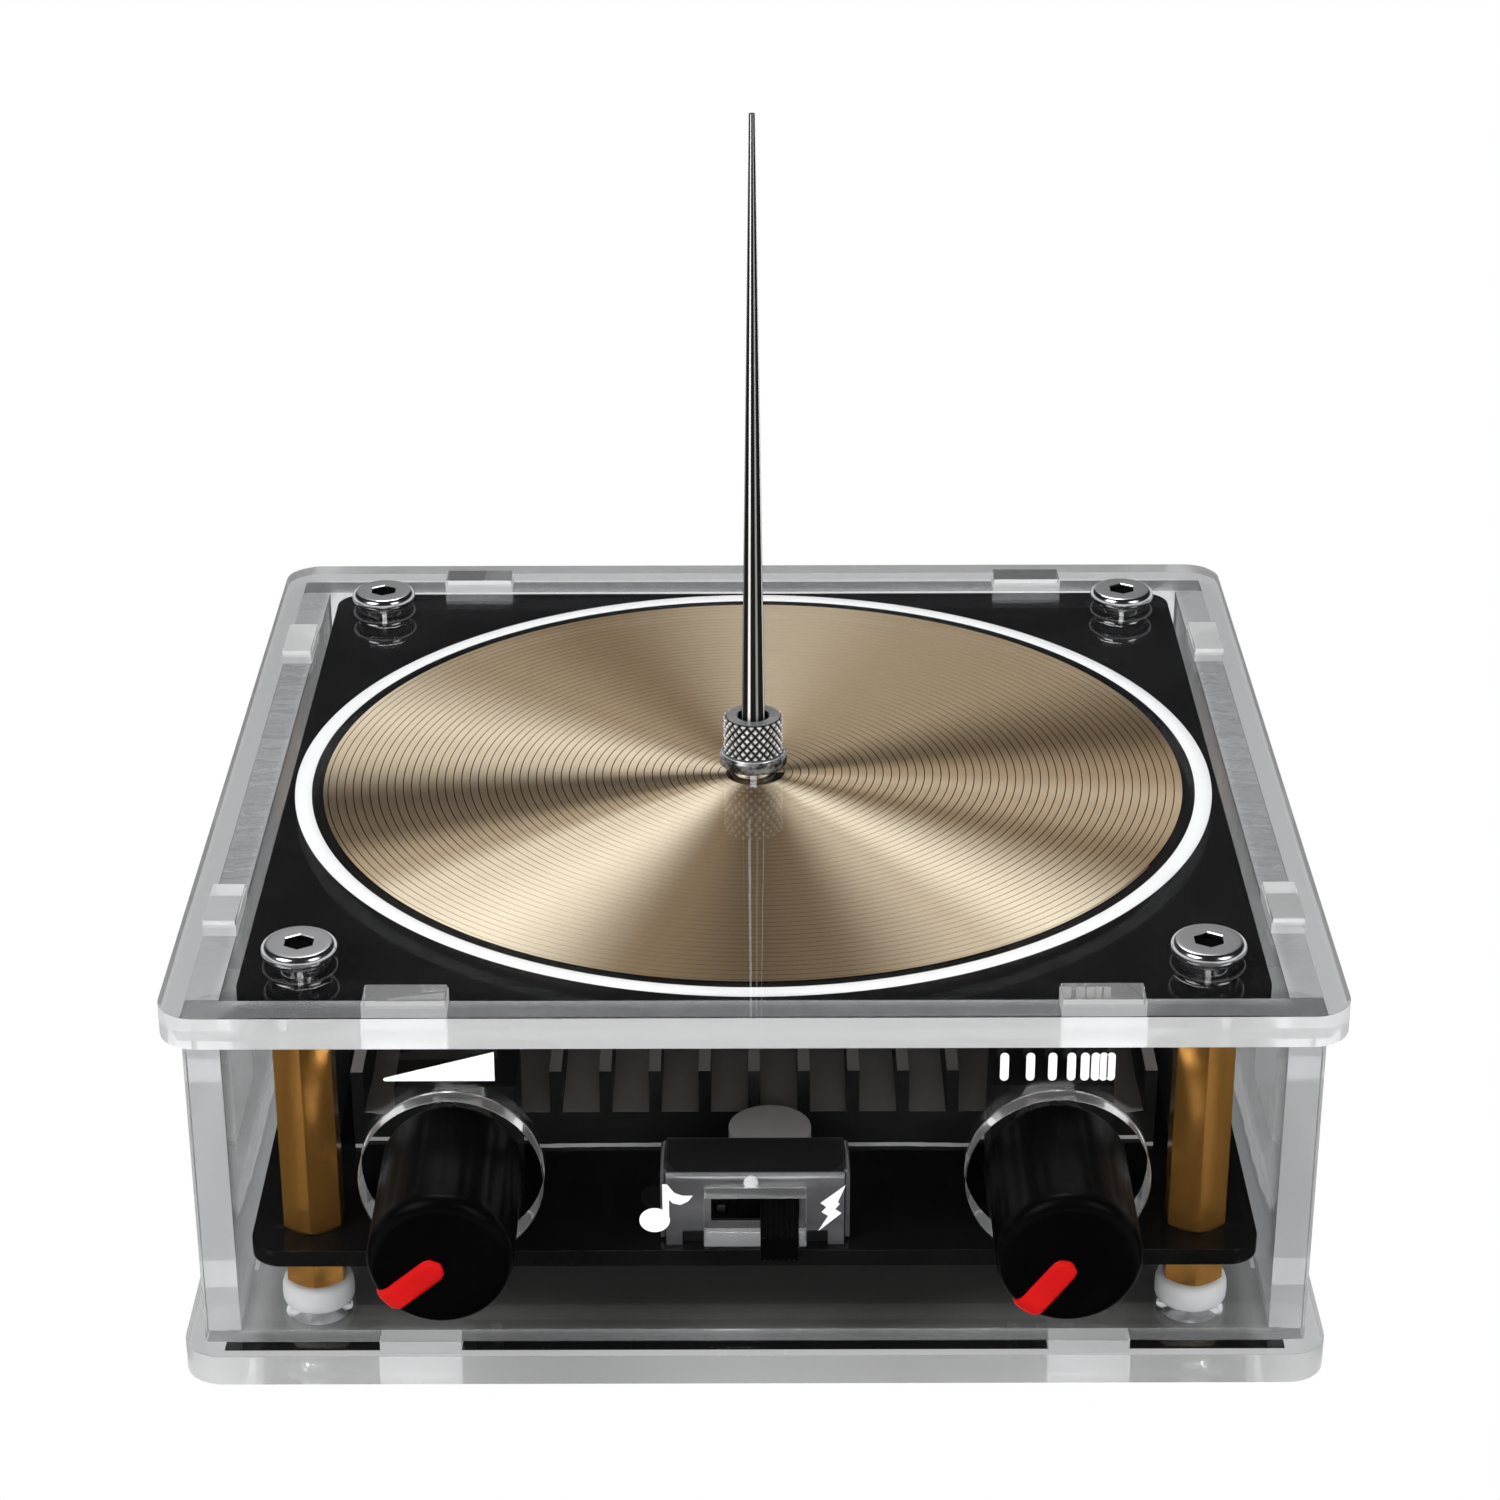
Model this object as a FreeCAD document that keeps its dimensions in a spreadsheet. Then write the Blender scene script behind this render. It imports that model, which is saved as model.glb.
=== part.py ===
# Desktop resonant transformer: a clear sheet case, a driver board, a flat spiral coil board
# and a discharge needle in a knurled terminal.
# Millimetres. The origin is the middle of the case's underside, +Z is up, and the control
# panel faces -Y.
import FreeCAD, Part
import math
import os
import re
import Sketcher
from FreeCAD import Placement, Rotation, Vector

doc = FreeCAD.newDocument("resonant_transformer")
sheet = doc.addObject("Spreadsheet::Sheet", "sizes")

# The driving dimensions: alias, value, what it is
SIZES = [
    # Case
    ("case_width", 100.0, "width of the bottom and top plates"),
    ("case_depth", 99.0, "depth of the bottom and top plates"),
    ("sheet_thickness", 2.9, "nominal 3 mm clear sheet"),
    ("plate_corner_radius", 3.5, "corners of both plates"),
    ("wall_height", 30.8, "clear height between the plates"),
    ("side_margin", 1.9, "plate edge beyond a side wall"),
    ("front_margin", 2.3, "plate edge beyond the front and back walls"),
    ("tab_width", 7.0, "width of a wall's tab"),
    ("tab_offset", 29.3, "tab's middle from the case's middle"),
    ("tab_proud", 0.4, "tab standing out of the top plate"),
    ("slot_clearance", 0.06, "slot beyond its tab, on each side"),
    ("wall_clearance", 0.05, "side wall from the front and back walls"),
    ("cut_overrun", 1.0, "how far a cut runs past the surface it opens"),
    # Corner stacks of screws, spacers and standoffs
    ("screw_inset", 5.2, "corner screw from the boards' edges, both ways"),
    ("thread_diameter", 3.0, "M3"),
    ("thread_clearance", 0.03, "radial gap in a threaded bore"),
    ("screw_hole_clearance", 0.15, "radial gap of an M3 clearance hole"),
    ("head_diameter", 6.6, "top screw's head"),
    ("head_thickness", 1.2, "top screw's head"),
    ("head_edge", 0.35, "bevel of the head's rims"),
    ("collar_diameter", 5.4, "collar under the head"),
    ("collar_height", 0.4, "collar under the head"),
    ("socket_width", 2.4, "hexagon socket across its flats"),
    ("socket_depth", 1.1, "hexagon socket"),
    ("top_screw_reach", 5.0, "thread inside the long standoff"),
    ("bore_spare", 1.0, "blind bore beyond its screw"),
    ("hex_width", 5.0, "standoffs across their flats"),
    ("hex_bevel", 0.4, "turned bevel at the standoffs' ends"),
    ("stud_reach", 1.8, "long standoff's stud inside the short one"),
    ("short_standoff_height", 4.0, "brass standoff under the driver board"),
    ("screw_end_gap", 0.5, "between the stud and the bottom screw"),
    ("spacer_diameter", 6.4, "white spacer on the bottom plate"),
    ("spacer_height", 2.5, "white spacer on the bottom plate"),
    ("spacer_edge", 0.6, "rounded rim of the spacer"),
    ("sunk_head_diameter", 5.6, "countersunk bottom screw"),
    ("sunk_head_height", 1.5, "countersunk bottom screw"),
    ("sunk_depth", 0.15, "bottom screw's head below the underside"),
    ("sunk_clearance", 0.06, "countersink around the bottom screw's head"),
    # Boards
    ("board_side_gap", 1.1, "boards' edges from the side walls"),
    ("board_end_gap", 0.2, "boards' edges from the front and back walls"),
    ("board_thickness", 1.6, "both boards"),
    ("board_corner_radius", 2.8, "both boards"),
    ("lid_gap", 0.1, "coil board below the top plate"),
    # Coils
    ("secondary_turns", 24, "turns of the flat spiral"),
    ("secondary_edge_gap", 3.1, "spiral's outer edge from the board's edge"),
    ("secondary_inner_radius", 4.6, "inner edge of the spiral"),
    ("secondary_gap", 0.46, "bare board between two turns"),
    ("secondary_thickness", 0.2, "track in its recess"),
    ("recess_margin", 0.3, "recess beyond the spiral"),
    ("primary_turns", 3, "turns on the coil board's underside"),
    ("primary_edge_gap", 1.6, "primary's outer edge from the board's edge"),
    ("primary_track_width", 2.2, "primary track"),
    ("primary_gap", 0.9, "bare board between two turns"),
    ("primary_thickness", 0.3, "primary track"),
    # Needle terminal
    ("terminal_flange_diameter", 7.0, "flange soldered under the coil board"),
    ("terminal_flange_height", 1.0, "flange soldered under the coil board"),
    ("terminal_diameter", 4.0, "threaded post"),
    ("terminal_hole_clearance", 0.15, "radial gap of the post's holes"),
    ("terminal_rise", 3.0, "post above the top plate"),
    ("terminal_floor", 0.5, "solid foot of the post above its flange"),
    ("nut_flange_diameter", 6.45, "knurled nut's flange"),
    ("nut_flange_height", 1.5, "knurled nut's flange"),
    ("nut_bevel", 0.3, "top of the flange"),
    ("nut_diameter", 5.7, "knurled body"),
    ("nut_height", 4.9, "whole nut"),
    ("nut_hole_diameter", 2.9, "hole that the needle stands in"),
    ("nut_edge", 0.15, "bevel of the nut's rim"),
    ("nut_thread_clearance", 0.04, "radial gap on the post"),
    ("nut_thread_spare", 0.2, "threaded bore beyond the post's end"),
    ("needle_diameter", 2.2, "needle's foot"),
    ("needle_clearance", 0.05, "radial gap in the post's bore"),
    ("needle_length", 67.2, "whole needle"),
    ("needle_foot_length", 9.0, "straight foot"),
    ("needle_tip_diameter", 0.57, "flat tip"),
    ("needle_seat_gap", 0.05, "needle above the bore's floor"),
    # Heat sink
    ("fin_count", 17, "fins side by side"),
    ("fin_thickness", 1.1, "one fin"),
    ("fin_height", 4.2, "above the base"),
    ("sink_base_height", 3.3, "heat sink's base"),
    ("sink_back_room", 21.1, "board behind the heat sink"),
    ("pad_thickness", 0.4, "thermal pad"),
    ("sink_screw_inset_side", 6.5, "screw from the heat sink's side"),
    ("sink_screw_inset_end", 6.0, "screw from the heat sink's end"),
    ("sink_screw_reach", 2.2, "thread inside the heat sink's base"),
    ("sink_bore_spare", 0.4, "blind bore beyond its screw"),
    ("pan_head_diameter", 5.5, "heat sink screw's head"),
    ("pan_head_height", 1.8, "heat sink screw's head"),
    # Potentiometers and knobs
    ("knob_inset", 12.9, "knob's axis inside the corner screw"),
    ("knob_axis_height", 19.3, "knob's axis above the underside"),
    ("knob_hole_clearance", 1.8, "front panel's round hole about the knob"),
    ("knob_diameter", 12.2, "control knob"),
    ("knob_length", 15.4, "control knob"),
    ("knob_edge", 1.0, "rounded rim of the knob's face"),
    ("knob_face_thickness", 2.8, "solid front of the knob"),
    ("flute_count", 18, "shallow flutes round the knob"),
    ("flute_radius", 1.2, "one flute"),
    ("flute_depth", 0.2, "one flute"),
    ("flute_end_gap", 2.8, "plain band between the flutes and the knob's face"),
    ("knob_bore_clearance", 0.03, "radial gap on the shaft"),
    ("pointer_width", 2.5, "red pointer"),
    ("pointer_start", 0.6, "pointer's inner end from the axis"),
    ("pointer_depth", 0.9, "pointer's bar in the face"),
    ("pointer_proud", 0.3, "pointer standing out of the knob"),
    ("pointer_side_depth", 0.7, "pointer's leg in the knob's side"),
    ("pointer_side_length", 4.6, "pointer's leg along the knob's side"),
    ("pointer_clearance", 0.03, "slot round the pointer"),
    ("left_pointer_angle", 130.0, "left pointer, degrees left of straight up"),
    ("right_pointer_angle", 143.0, "right pointer, degrees left of straight up"),
    ("shaft_diameter", 6.0, "potentiometer's shaft"),
    ("shaft_flat", 1.5, "shaft's flat from its middle"),
    ("shaft_end_gap", 0.4, "shaft's end before the bore's floor"),
    ("shaft_root", 3.0, "shaft inside the potentiometer"),
    ("shaft_clearance", 0.06, "radial gap in the bushing"),
    ("bushing_wall", 0.44, "threaded bushing"),
    ("bushing_length", 4.4, "threaded bushing"),
    ("bushing_gap", 1.2, "knob's back from the bushing"),
    ("pot_width", 10.6, "potentiometer's housing"),
    ("pot_depth", 6.6, "potentiometer's housing"),
    ("pot_front", 8.2, "housing behind the front panel's outer face"),
    ("pot_above_axis", 5.2, "housing's top above the shaft"),
    ("pot_pin_width", 1.0, "potentiometer's pin"),
    ("pot_pin_pitch", 2.5, "from pin to pin"),
    ("pin_clearance", 0.1, "hole round a pin"),
    ("pin_tail", 1.0, "pin below the driver board"),
    ("pin_root", 1.2, "pin inside its housing"),
    # Slide switch
    ("switch_middle", 0.05, "switch's middle, to the right"),
    ("switch_front", 4.0, "switch behind the front panel's outer face"),
    ("switch_width", 16.5, "metal shell"),
    ("switch_depth", 6.4, "metal shell"),
    ("shell_thickness", 0.4, "metal shell"),
    ("lever_width", 3.3, "switch lever"),
    ("lever_thickness", 2.5, "switch lever, in height"),
    ("lever_reach", 2.8, "lever's tip beyond the front panel"),
    ("lever_travel", 4.2, "from one end to the other"),
    ("lever_side_clearance", 0.1, "shell's slot at the ends of the travel"),
    ("lever_top_clearance", 0.2, "shell's slot above and below the lever"),
    ("window_side_clearance", 0.65, "panel's window at the ends of the travel"),
    ("window_below", 0.25, "panel's window below the lever"),
    ("window_above", 2.05, "panel's window above the lever"),
    ("slider_width", 7.4, "block that the lever stands on"),
    ("slider_depth", 3.6, "block that the lever stands on"),
    ("slider_height", 3.9, "block that the lever stands on"),
    ("slider_gap", 0.15, "slider from the shell and the base"),
    ("slider_headroom", 1.65, "slider from the top of the shell"),
    ("switch_base_height", 1.1, "switch's insulating base"),
    ("base_gap", 0.05, "base from the shell's walls"),
    ("switch_pin_width", 0.8, "switch's pin"),
    ("switch_pin_pitch", 3.0, "from pin to pin"),
    ("rivet_diameter", 1.4, "round dimple on the shell"),
    ("rivet_height", 0.2, "round dimple on the shell"),
    # Sockets on the back panel
    ("dc_inset", 13.9, "power socket inside the left corner screw"),
    ("dc_width", 9.0, "power socket's body"),
    ("dc_height", 11.0, "power socket's body"),
    ("dc_depth", 14.0, "power socket's body"),
    ("dc_setback", 1.2, "power socket's face inside the back panel's outer face"),
    ("dc_axis_drop", 4.5, "power socket's axis below its top"),
    ("dc_bore_diameter", 6.4, "for a 5.5 mm barrel plug"),
    ("dc_bore_depth", 9.5, "for a 5.5 mm barrel plug"),
    ("dc_pin_diameter", 2.0, "centre pin"),
    ("dc_pin_recess", 0.8, "centre pin's end behind the socket's face"),
    ("dc_pin_root", 2.5, "centre pin in the socket's body"),
    ("panel_clearance", 0.15, "back panel's holes round the sockets"),
    ("audio_inset", 13.9, "sound socket inside the right corner screw"),
    ("audio_width", 6.0, "sound socket's body"),
    ("audio_height", 5.0, "sound socket's body"),
    ("audio_depth", 12.0, "sound socket's body"),
    ("audio_barrel_inset", 0.05, "sound socket's collar inside its body"),
    ("audio_barrel_length", 2.4, "sound socket's collar"),
    ("audio_bore_diameter", 3.6, "for a 3.5 mm plug"),
    ("audio_floor", 1.4, "sound socket's wall behind the bore"),
    ("socket_gap", 0.1, "sound socket's body behind the back panel"),
    # Other parts on the driver board
    ("bulk_diameter", 10.0, "supply capacitor"),
    ("bulk_headroom", 5.0, "supply capacitor's top below the coil board"),
    ("bulk_gap", 2.0, "between the two supply capacitors"),
    ("bulk_back_gap", 2.5, "supply capacitor from the board's back edge"),
    ("bung_height", 1.2, "rubber bung under the can"),
    ("bung_inset", 0.4, "bung inside the can's wall"),
    ("front_can_diameter", 7.4, "surface-mount capacitor"),
    ("front_can_height", 4.0, "surface-mount capacitor's can"),
    ("front_base_margin", 0.2, "surface-mount capacitor's base beyond its can"),
    ("front_base_height", 1.0, "surface-mount capacitor's base"),
    ("front_can_offset", 1.4, "surface-mount capacitor to the right"),
    ("front_can_gap", 0.8, "surface-mount capacitor in front of the heat sink"),
    ("front_can_switch_gap", 1.2, "surface-mount capacitor behind the switch"),
    ("film_width", 5.0, "tank capacitor"),
    ("film_depth", 13.0, "tank capacitor"),
    ("film_height", 9.0, "tank capacitor"),
    ("film_edge_gap", 1.0, "tank capacitor from the board's side edge"),
    ("film_sink_gap", 1.55, "tank capacitor from the heat sink"),
    ("film_stand", 0.2, "tank capacitor above the board"),
    ("transistor_width", 6.5, "power transistor"),
    ("transistor_depth", 6.1, "power transistor"),
    ("transistor_height", 2.3, "power transistor"),
    ("transistor_spacing", 26.0, "between the two power transistors' middles"),
    ("transistor_tab_width", 5.2, "metal tab behind the body"),
    ("transistor_tab_depth", 1.6, "metal tab behind the body"),
    ("transistor_metal", 0.5, "tab and leads"),
    ("transistor_lead_width", 0.9, "one lead"),
    ("transistor_lead_pitch", 4.6, "between the two leads"),
    ("transistor_lead_length", 2.4, "one lead"),
    ("chip_width", 4.9, "driver chip"),
    ("chip_depth", 3.9, "driver chip"),
    ("chip_height", 1.5, "driver chip"),
    ("chip_spacing", 26.0, "between the two driver chips' middles"),
    ("chip_gap", 8.0, "driver chip in front of the transistor's leads"),
    ("chip_lead_width", 0.42, "one lead"),
    ("chip_lead_pitch", 1.27, "from lead to lead"),
    ("chip_lead_reach", 1.05, "lead beyond the chip's side"),
    ("chip_lead_thickness", 0.3, "one lead"),
]

for row, (alias, amount, note) in enumerate(SIZES, start=1):
    sheet.set("A%d" % row, note)
    sheet.set("B%d" % row, str(amount))
    sheet.setAlias("B%d" % row, alias)
doc.recompute()


# Expressions are text. Every alias has an underscore, so it is told from a function's name.
def bound(text):
    return re.sub(r"[a-z]+(?:_[a-z]+)+", lambda found: "sizes." + found.group(0), text)


def number(text):
    return float(sheet.evalExpression(text))


def bind(thing, **properties):
    for name, text in properties.items():
        thing.setExpression(name.replace("__", "."), bound(text))


def minus(text):
    return "(0 - " + text + ")"


def around(middle, width):
    return "(%s - %s / 2)" % (middle, width), "(%s + %s / 2)" % (middle, width)


def on_both_sides(low, high):
    return [(low, high), (minus(high), minus(low))]


def in_a_row(middle, count, pitch):
    return ["(%s + (%d - %d / 2) * %s)" % (middle, step, count - 1, pitch) for step in range(count)]


# Places that several pieces share
half_width = "(case_width / 2)"
half_depth = "(case_depth / 2)"
wall_x = "(case_width / 2 - side_margin)"
wall_y = "(case_depth / 2 - front_margin)"
wall_x_inner = "(" + wall_x + " - sheet_thickness)"
wall_y_inner = "(" + wall_y + " - sheet_thickness)"
panel_face = minus(wall_y)
lid_z = "(sheet_thickness + wall_height)"
case_top = "(" + lid_z + " + sheet_thickness)"
short_standoff_z = "(sheet_thickness + spacer_height)"
board_z = "(" + short_standoff_z + " + short_standoff_height)"
board_top = "(" + board_z + " + board_thickness)"
board_half_x = "(" + wall_x_inner + " - board_side_gap)"
board_half_y = "(" + wall_y_inner + " - board_end_gap)"
coil_room = "min(" + board_half_x + "; " + board_half_y + ")"
coil_top = "(" + lid_z + " - lid_gap)"
coil_z = "(" + coil_top + " - board_thickness)"
screw_x = "(" + board_half_x + " - screw_inset)"
screw_y = "(" + board_half_y + " - screw_inset)"
bore_radius = "(thread_diameter / 2 + thread_clearance)"
hole_radius = "(thread_diameter / 2 + screw_hole_clearance)"
knob_x = "(" + screw_x + " - knob_inset)"
slider_z = "(" + board_top + " + switch_base_height + slider_gap)"
lever_z = "(" + slider_z + " + slider_height / 2)"
lever_run = "(lever_width + lever_travel)"
switch_face = "(" + panel_face + " + switch_front)"
switch_back = "(" + switch_face + " + switch_depth)"
front_base_width = "(front_can_diameter + 2 * front_base_margin)"
front_can_y = "(" + switch_back + " + front_can_switch_gap + " + front_base_width + " / 2)"
sink_half_width = "(" + board_half_x + " - film_edge_gap - film_width - film_sink_gap)"
sink_front = "(" + front_can_y + " + " + front_base_width + " / 2 + front_can_gap)"
sink_back = "(" + board_half_y + " - sink_back_room)"
sink_z = "(" + board_top + " + pad_thickness)"

pieces = []


def keep(piece, node):
    piece.Label = node
    pieces.append(piece)
    return piece


# Sketches
def new_body(name):
    return doc.addObject("PartDesign::Body", name)


def sketch_in(body, name, role, offset="0"):
    sketch = body.newObject("Sketcher::SketchObject", name)
    for plane in body.Origin.OriginFeatures:
        if plane.Role == role:
            sketch.AttachmentSupport = [(plane, "")]
    sketch.MapMode = "FlatFace"
    if offset != "0":
        sketch.setExpression(".AttachmentOffset.Base.z", bound(offset))
    return sketch


def measure(sketch, kind, geometry, point, text):
    index = sketch.addConstraint(Sketcher.Constraint(kind, -1, 1, geometry, point, number(text)))
    sketch.setExpression("Constraints[%d]" % index, bound(text))


def set_radius(sketch, geometry, text):
    index = sketch.addConstraint(Sketcher.Constraint("Radius", geometry, number(text)))
    sketch.setExpression("Constraints[%d]" % index, bound(text))


def place_point(sketch, geometry, point, x, y):
    if x == "0":
        sketch.addConstraint(Sketcher.Constraint("PointOnObject", geometry, point, -2))
    else:
        measure(sketch, "DistanceX", geometry, point, x)
    if y == "0":
        sketch.addConstraint(Sketcher.Constraint("PointOnObject", geometry, point, -1))
    else:
        measure(sketch, "DistanceY", geometry, point, y)


def outline(sketch, points):
    spots = [Vector(number(x), number(y), 0) for x, y in points]
    first = sketch.GeometryCount
    count = len(points)
    for i in range(count):
        sketch.addGeometry(Part.LineSegment(spots[i], spots[(i + 1) % count]), False)
    for i in range(count):
        sketch.addConstraint(Sketcher.Constraint("Coincident", first + i, 2, first + (i + 1) % count, 1))
    for i in range(count):
        place_point(sketch, first + i, 1, *points[i])


def rectangle(sketch, x, y):
    outline(sketch, [(x[0], y[0]), (x[1], y[0]), (x[1], y[1]), (x[0], y[1])])


def circle(sketch, x, y, radius):
    middle = Vector(number(x), number(y), 0)
    geometry = sketch.addGeometry(Part.Circle(middle, Vector(0, 0, 1), number(radius)), False)
    place_point(sketch, geometry, 3, x, y)
    set_radius(sketch, geometry, radius)


def rounded_rectangle(sketch, half_x, half_y, radius):
    # four sides, from the lower one round to the left one, then the four quarter arcs
    a, b, r = number(half_x), number(half_y), number(radius)
    starts = [(r - a, -b), (a, r - b), (a - r, b), (-a, b - r)]
    ends = [(a - r, -b), (a, b - r), (r - a, b), (-a, r - b)]
    for start, end in zip(starts, ends):
        sketch.addGeometry(Part.LineSegment(Vector(*start, 0), Vector(*end, 0)), False)
    middles = [(a - r, r - b), (a - r, b - r), (r - a, b - r), (r - a, r - b)]
    for quarter, middle in enumerate(middles):
        start = (quarter - 1) * math.pi / 2
        ring = Part.Circle(Vector(*middle, 0), Vector(0, 0, 1), r)
        sketch.addGeometry(Part.ArcOfCircle(ring, start, start + math.pi / 2), False)
    for side in range(4):
        sketch.addConstraint(Sketcher.Constraint("Tangent", side, 2, 4 + side, 1))
        sketch.addConstraint(Sketcher.Constraint("Tangent", 4 + side, 2, (side + 1) % 4, 1))
        sketch.addConstraint(Sketcher.Constraint("Horizontal" if side % 2 == 0 else "Vertical", side))
    for arc in (5, 6, 7):
        sketch.addConstraint(Sketcher.Constraint("Equal", 4, arc))
    set_radius(sketch, 4, radius)
    measure(sketch, "DistanceY", 0, 1, minus(half_y))
    measure(sketch, "DistanceX", 1, 1, half_x)
    measure(sketch, "DistanceY", 2, 1, half_y)
    measure(sketch, "DistanceX", 3, 1, minus(half_x))


def hexagon(sketch, width):
    half = "(" + width + " / 2)"
    corner = "(" + width + " / sqrt(3))"
    outline(sketch, [("0", minus(corner)), (half, minus(corner + " / 2")), (half, corner + " / 2"),
                     ("0", corner), (minus(half), corner + " / 2"), (minus(half), minus(corner + " / 2"))])


# Features
def feature(body, kind, sketch, length, reverse=False):
    made = body.newObject("PartDesign::" + kind, sketch.Name + "_" + kind.lower())
    made.Profile = sketch
    made.Reversed = reverse
    if length == "through":
        made.Type = "ThroughAll"
    else:
        made.setExpression("Length", bound(length))
    return made


def turned(body, name, profile, kind="Revolution"):
    sketch = sketch_in(body, name, "XZ_Plane")
    outline(sketch, profile)
    made = body.newObject("PartDesign::" + kind, name + "_" + kind.lower())
    made.Profile = sketch
    made.ReferenceAxis = (sketch, ["V_Axis"])
    made.Angle = 360
    return made


# A rim rounded by two bevels, from its side to its face
rim_share = 1 - math.sqrt(1 / 2)


def rounded_rim(radius, face, edge):
    return [(radius, "%s - %s" % (face, edge)),
            ("%s - %s * %.4f" % (radius, edge, rim_share), "%s - %s * %.4f" % (face, edge, rim_share)),
            ("%s - %s" % (radius, edge), face)]


# Solids from plain blocks and rods: every limit is an expression
def block(name, x, y, z):
    box = doc.addObject("Part::Box", name)
    length, width, height = ["(%s) - (%s)" % (high, low) for low, high in (x, y, z)]
    bind(box, Length=length, Width=width, Height=height)
    bind(box, Placement__Base__x=x[0], Placement__Base__y=y[0], Placement__Base__z=z[0])
    return box


def rod(name, radius, length, x, y, z, along="Z"):
    cylinder = doc.addObject("Part::Cylinder", name)
    turns = {"Z": Rotation(), "Y": Rotation(Vector(1, 0, 0), -90)}
    cylinder.Placement = Placement(Vector(0, 0, 0), turns[along])
    bind(cylinder, Radius=radius, Height=length)
    bind(cylinder, Placement__Base__x=x, Placement__Base__y=y, Placement__Base__z=z)
    return cylinder


def joined(name, shapes):
    fusion = doc.addObject("Part::MultiFuse", name)
    fusion.Shapes = shapes
    return fusion


def cut_from(name, base, tools):
    result = doc.addObject("Part::Cut", name)
    result.Base = base
    result.Tool = tools[0] if len(tools) == 1 else joined(name + "_tools", tools)
    return result


# Nodes of several solids
def grouped(node, shapes):
    group = doc.addObject("Part::Compound", node)
    group.Links = shapes
    return keep(group, node)


def copies(node, source, places):
    links = []
    for index, (x, y, z) in enumerate(places):
        link = doc.addObject("App::Link", "%s_%d" % (node, index + 1))
        link.LinkedObject = source
        link.LinkTransform = False
        bind(link, Placement__Base__x=x, Placement__Base__y=y, Placement__Base__z=z)
        links.append(link)
    return grouped(node, links)


def corners(z):
    return [(x, y, z) for x in (screw_x, minus(screw_x)) for y in (screw_y, minus(screw_y))]


# Case plates
def case_plate(node, base, round_holes):
    body = new_body(node)
    slab = sketch_in(body, node + "_edge", "XY_Plane", base)
    rounded_rectangle(slab, half_width, half_depth, "plate_corner_radius")
    feature(body, "Pad", slab, "sheet_thickness")
    slots = sketch_in(body, node + "_slots", "XY_Plane", base)
    tab_low, tab_high = around("tab_offset", "tab_width")
    for along in on_both_sides("(" + tab_low + " - slot_clearance)", "(" + tab_high + " + slot_clearance)"):
        for inner, outer in on_both_sides(wall_y_inner, wall_y):
            rectangle(slots, along, ("(" + inner + " - slot_clearance)", "(" + outer + " + slot_clearance)"))
        for inner, outer in on_both_sides(wall_x_inner, wall_x):
            rectangle(slots, ("(" + inner + " - slot_clearance)", "(" + outer + " + slot_clearance)"), along)
    feature(body, "Pocket", slots, "through", reverse=True)
    holes = sketch_in(body, node + "_holes", "XY_Plane", base)
    for x, y, radius in round_holes:
        circle(holes, x, y, radius)
    feature(body, "Pocket", holes, "through", reverse=True)
    return keep(body, node)


screw_holes = [(x, y, hole_radius) for x, y, z in corners("0")]
terminal_hole = ("0", "0", "terminal_diameter / 2 + terminal_hole_clearance")
bottom_plate = case_plate("bottom_plate", "0", screw_holes)
case_plate("top_plate", lid_z, screw_holes + [terminal_hole])

# countersinks at the slope of the screw heads
sink_slope = "((sunk_head_diameter - thread_diameter) / 2 / sunk_head_height)"
for index, (x, y, z) in enumerate(corners("0")):
    cone = bottom_plate.newObject("PartDesign::SubtractiveCone", "countersink_%d" % (index + 1))
    bind(cone, Radius1="sunk_head_diameter / 2 + sunk_clearance + sunk_depth * " + sink_slope)
    bind(cone, Radius2="thread_diameter / 2 + sunk_clearance", Height="sunk_head_height + sunk_depth")
    bind(cone, Placement__Base__x=x, Placement__Base__y=y)


# Case walls: a sheet with two tabs that pass through both plates
def case_wall(node, role, offset, half_length, openings=None):
    body = new_body(node)
    panel = sketch_in(body, node + "_sheet", role, offset)
    rectangle(panel, (minus(half_length), half_length), ("sheet_thickness", lid_z))
    feature(body, "Pad", panel, "sheet_thickness")
    tabs = sketch_in(body, node + "_tabs", role, offset)
    for along in on_both_sides(*around("tab_offset", "tab_width")):
        rectangle(tabs, along, ("0", "(" + case_top + " + tab_proud)"))
    feature(body, "Pad", tabs, "sheet_thickness")
    if openings:
        holes = sketch_in(body, node + "_openings", role, offset)
        openings(holes)
        feature(body, "Pocket", holes, "through", reverse=True)
    return keep(body, node)


dc_x = "(dc_inset - " + screw_x + ")"
dc_axis_z = "(" + board_top + " + dc_height - dc_axis_drop)"
audio_x = "(" + screw_x + " - audio_inset)"
audio_z = "(" + board_top + " + audio_height / 2)"
audio_barrel_radius = "(audio_height / 2 - audio_barrel_inset)"


def front_openings(sketch):
    for x in (knob_x, minus(knob_x)):
        circle(sketch, x, "knob_axis_height", "knob_diameter / 2 + knob_hole_clearance")
    lever_low, lever_high = around(lever_z, "lever_thickness")
    rectangle(sketch, around("switch_middle", "(" + lever_run + " + 2 * window_side_clearance)"),
              ("(" + lever_low + " - window_below)", "(" + lever_high + " + window_above)"))


def back_openings(sketch):
    rectangle(sketch, around(dc_x, "(dc_width + 2 * panel_clearance)"),
              ("(" + board_top + " - panel_clearance)", "(" + board_top + " + dc_height + panel_clearance)"))
    circle(sketch, audio_x, audio_z, audio_barrel_radius + " + panel_clearance")


side_length = "(" + wall_y_inner + " - wall_clearance)"
case_wall("front_panel", "XZ_Plane", wall_y_inner, wall_x, front_openings)
case_wall("back_panel", "XZ_Plane", minus(wall_y), wall_x, back_openings)
case_wall("left_panel", "YZ_Plane", minus(wall_x), side_length)
case_wall("right_panel", "YZ_Plane", wall_x_inner, side_length)


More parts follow.
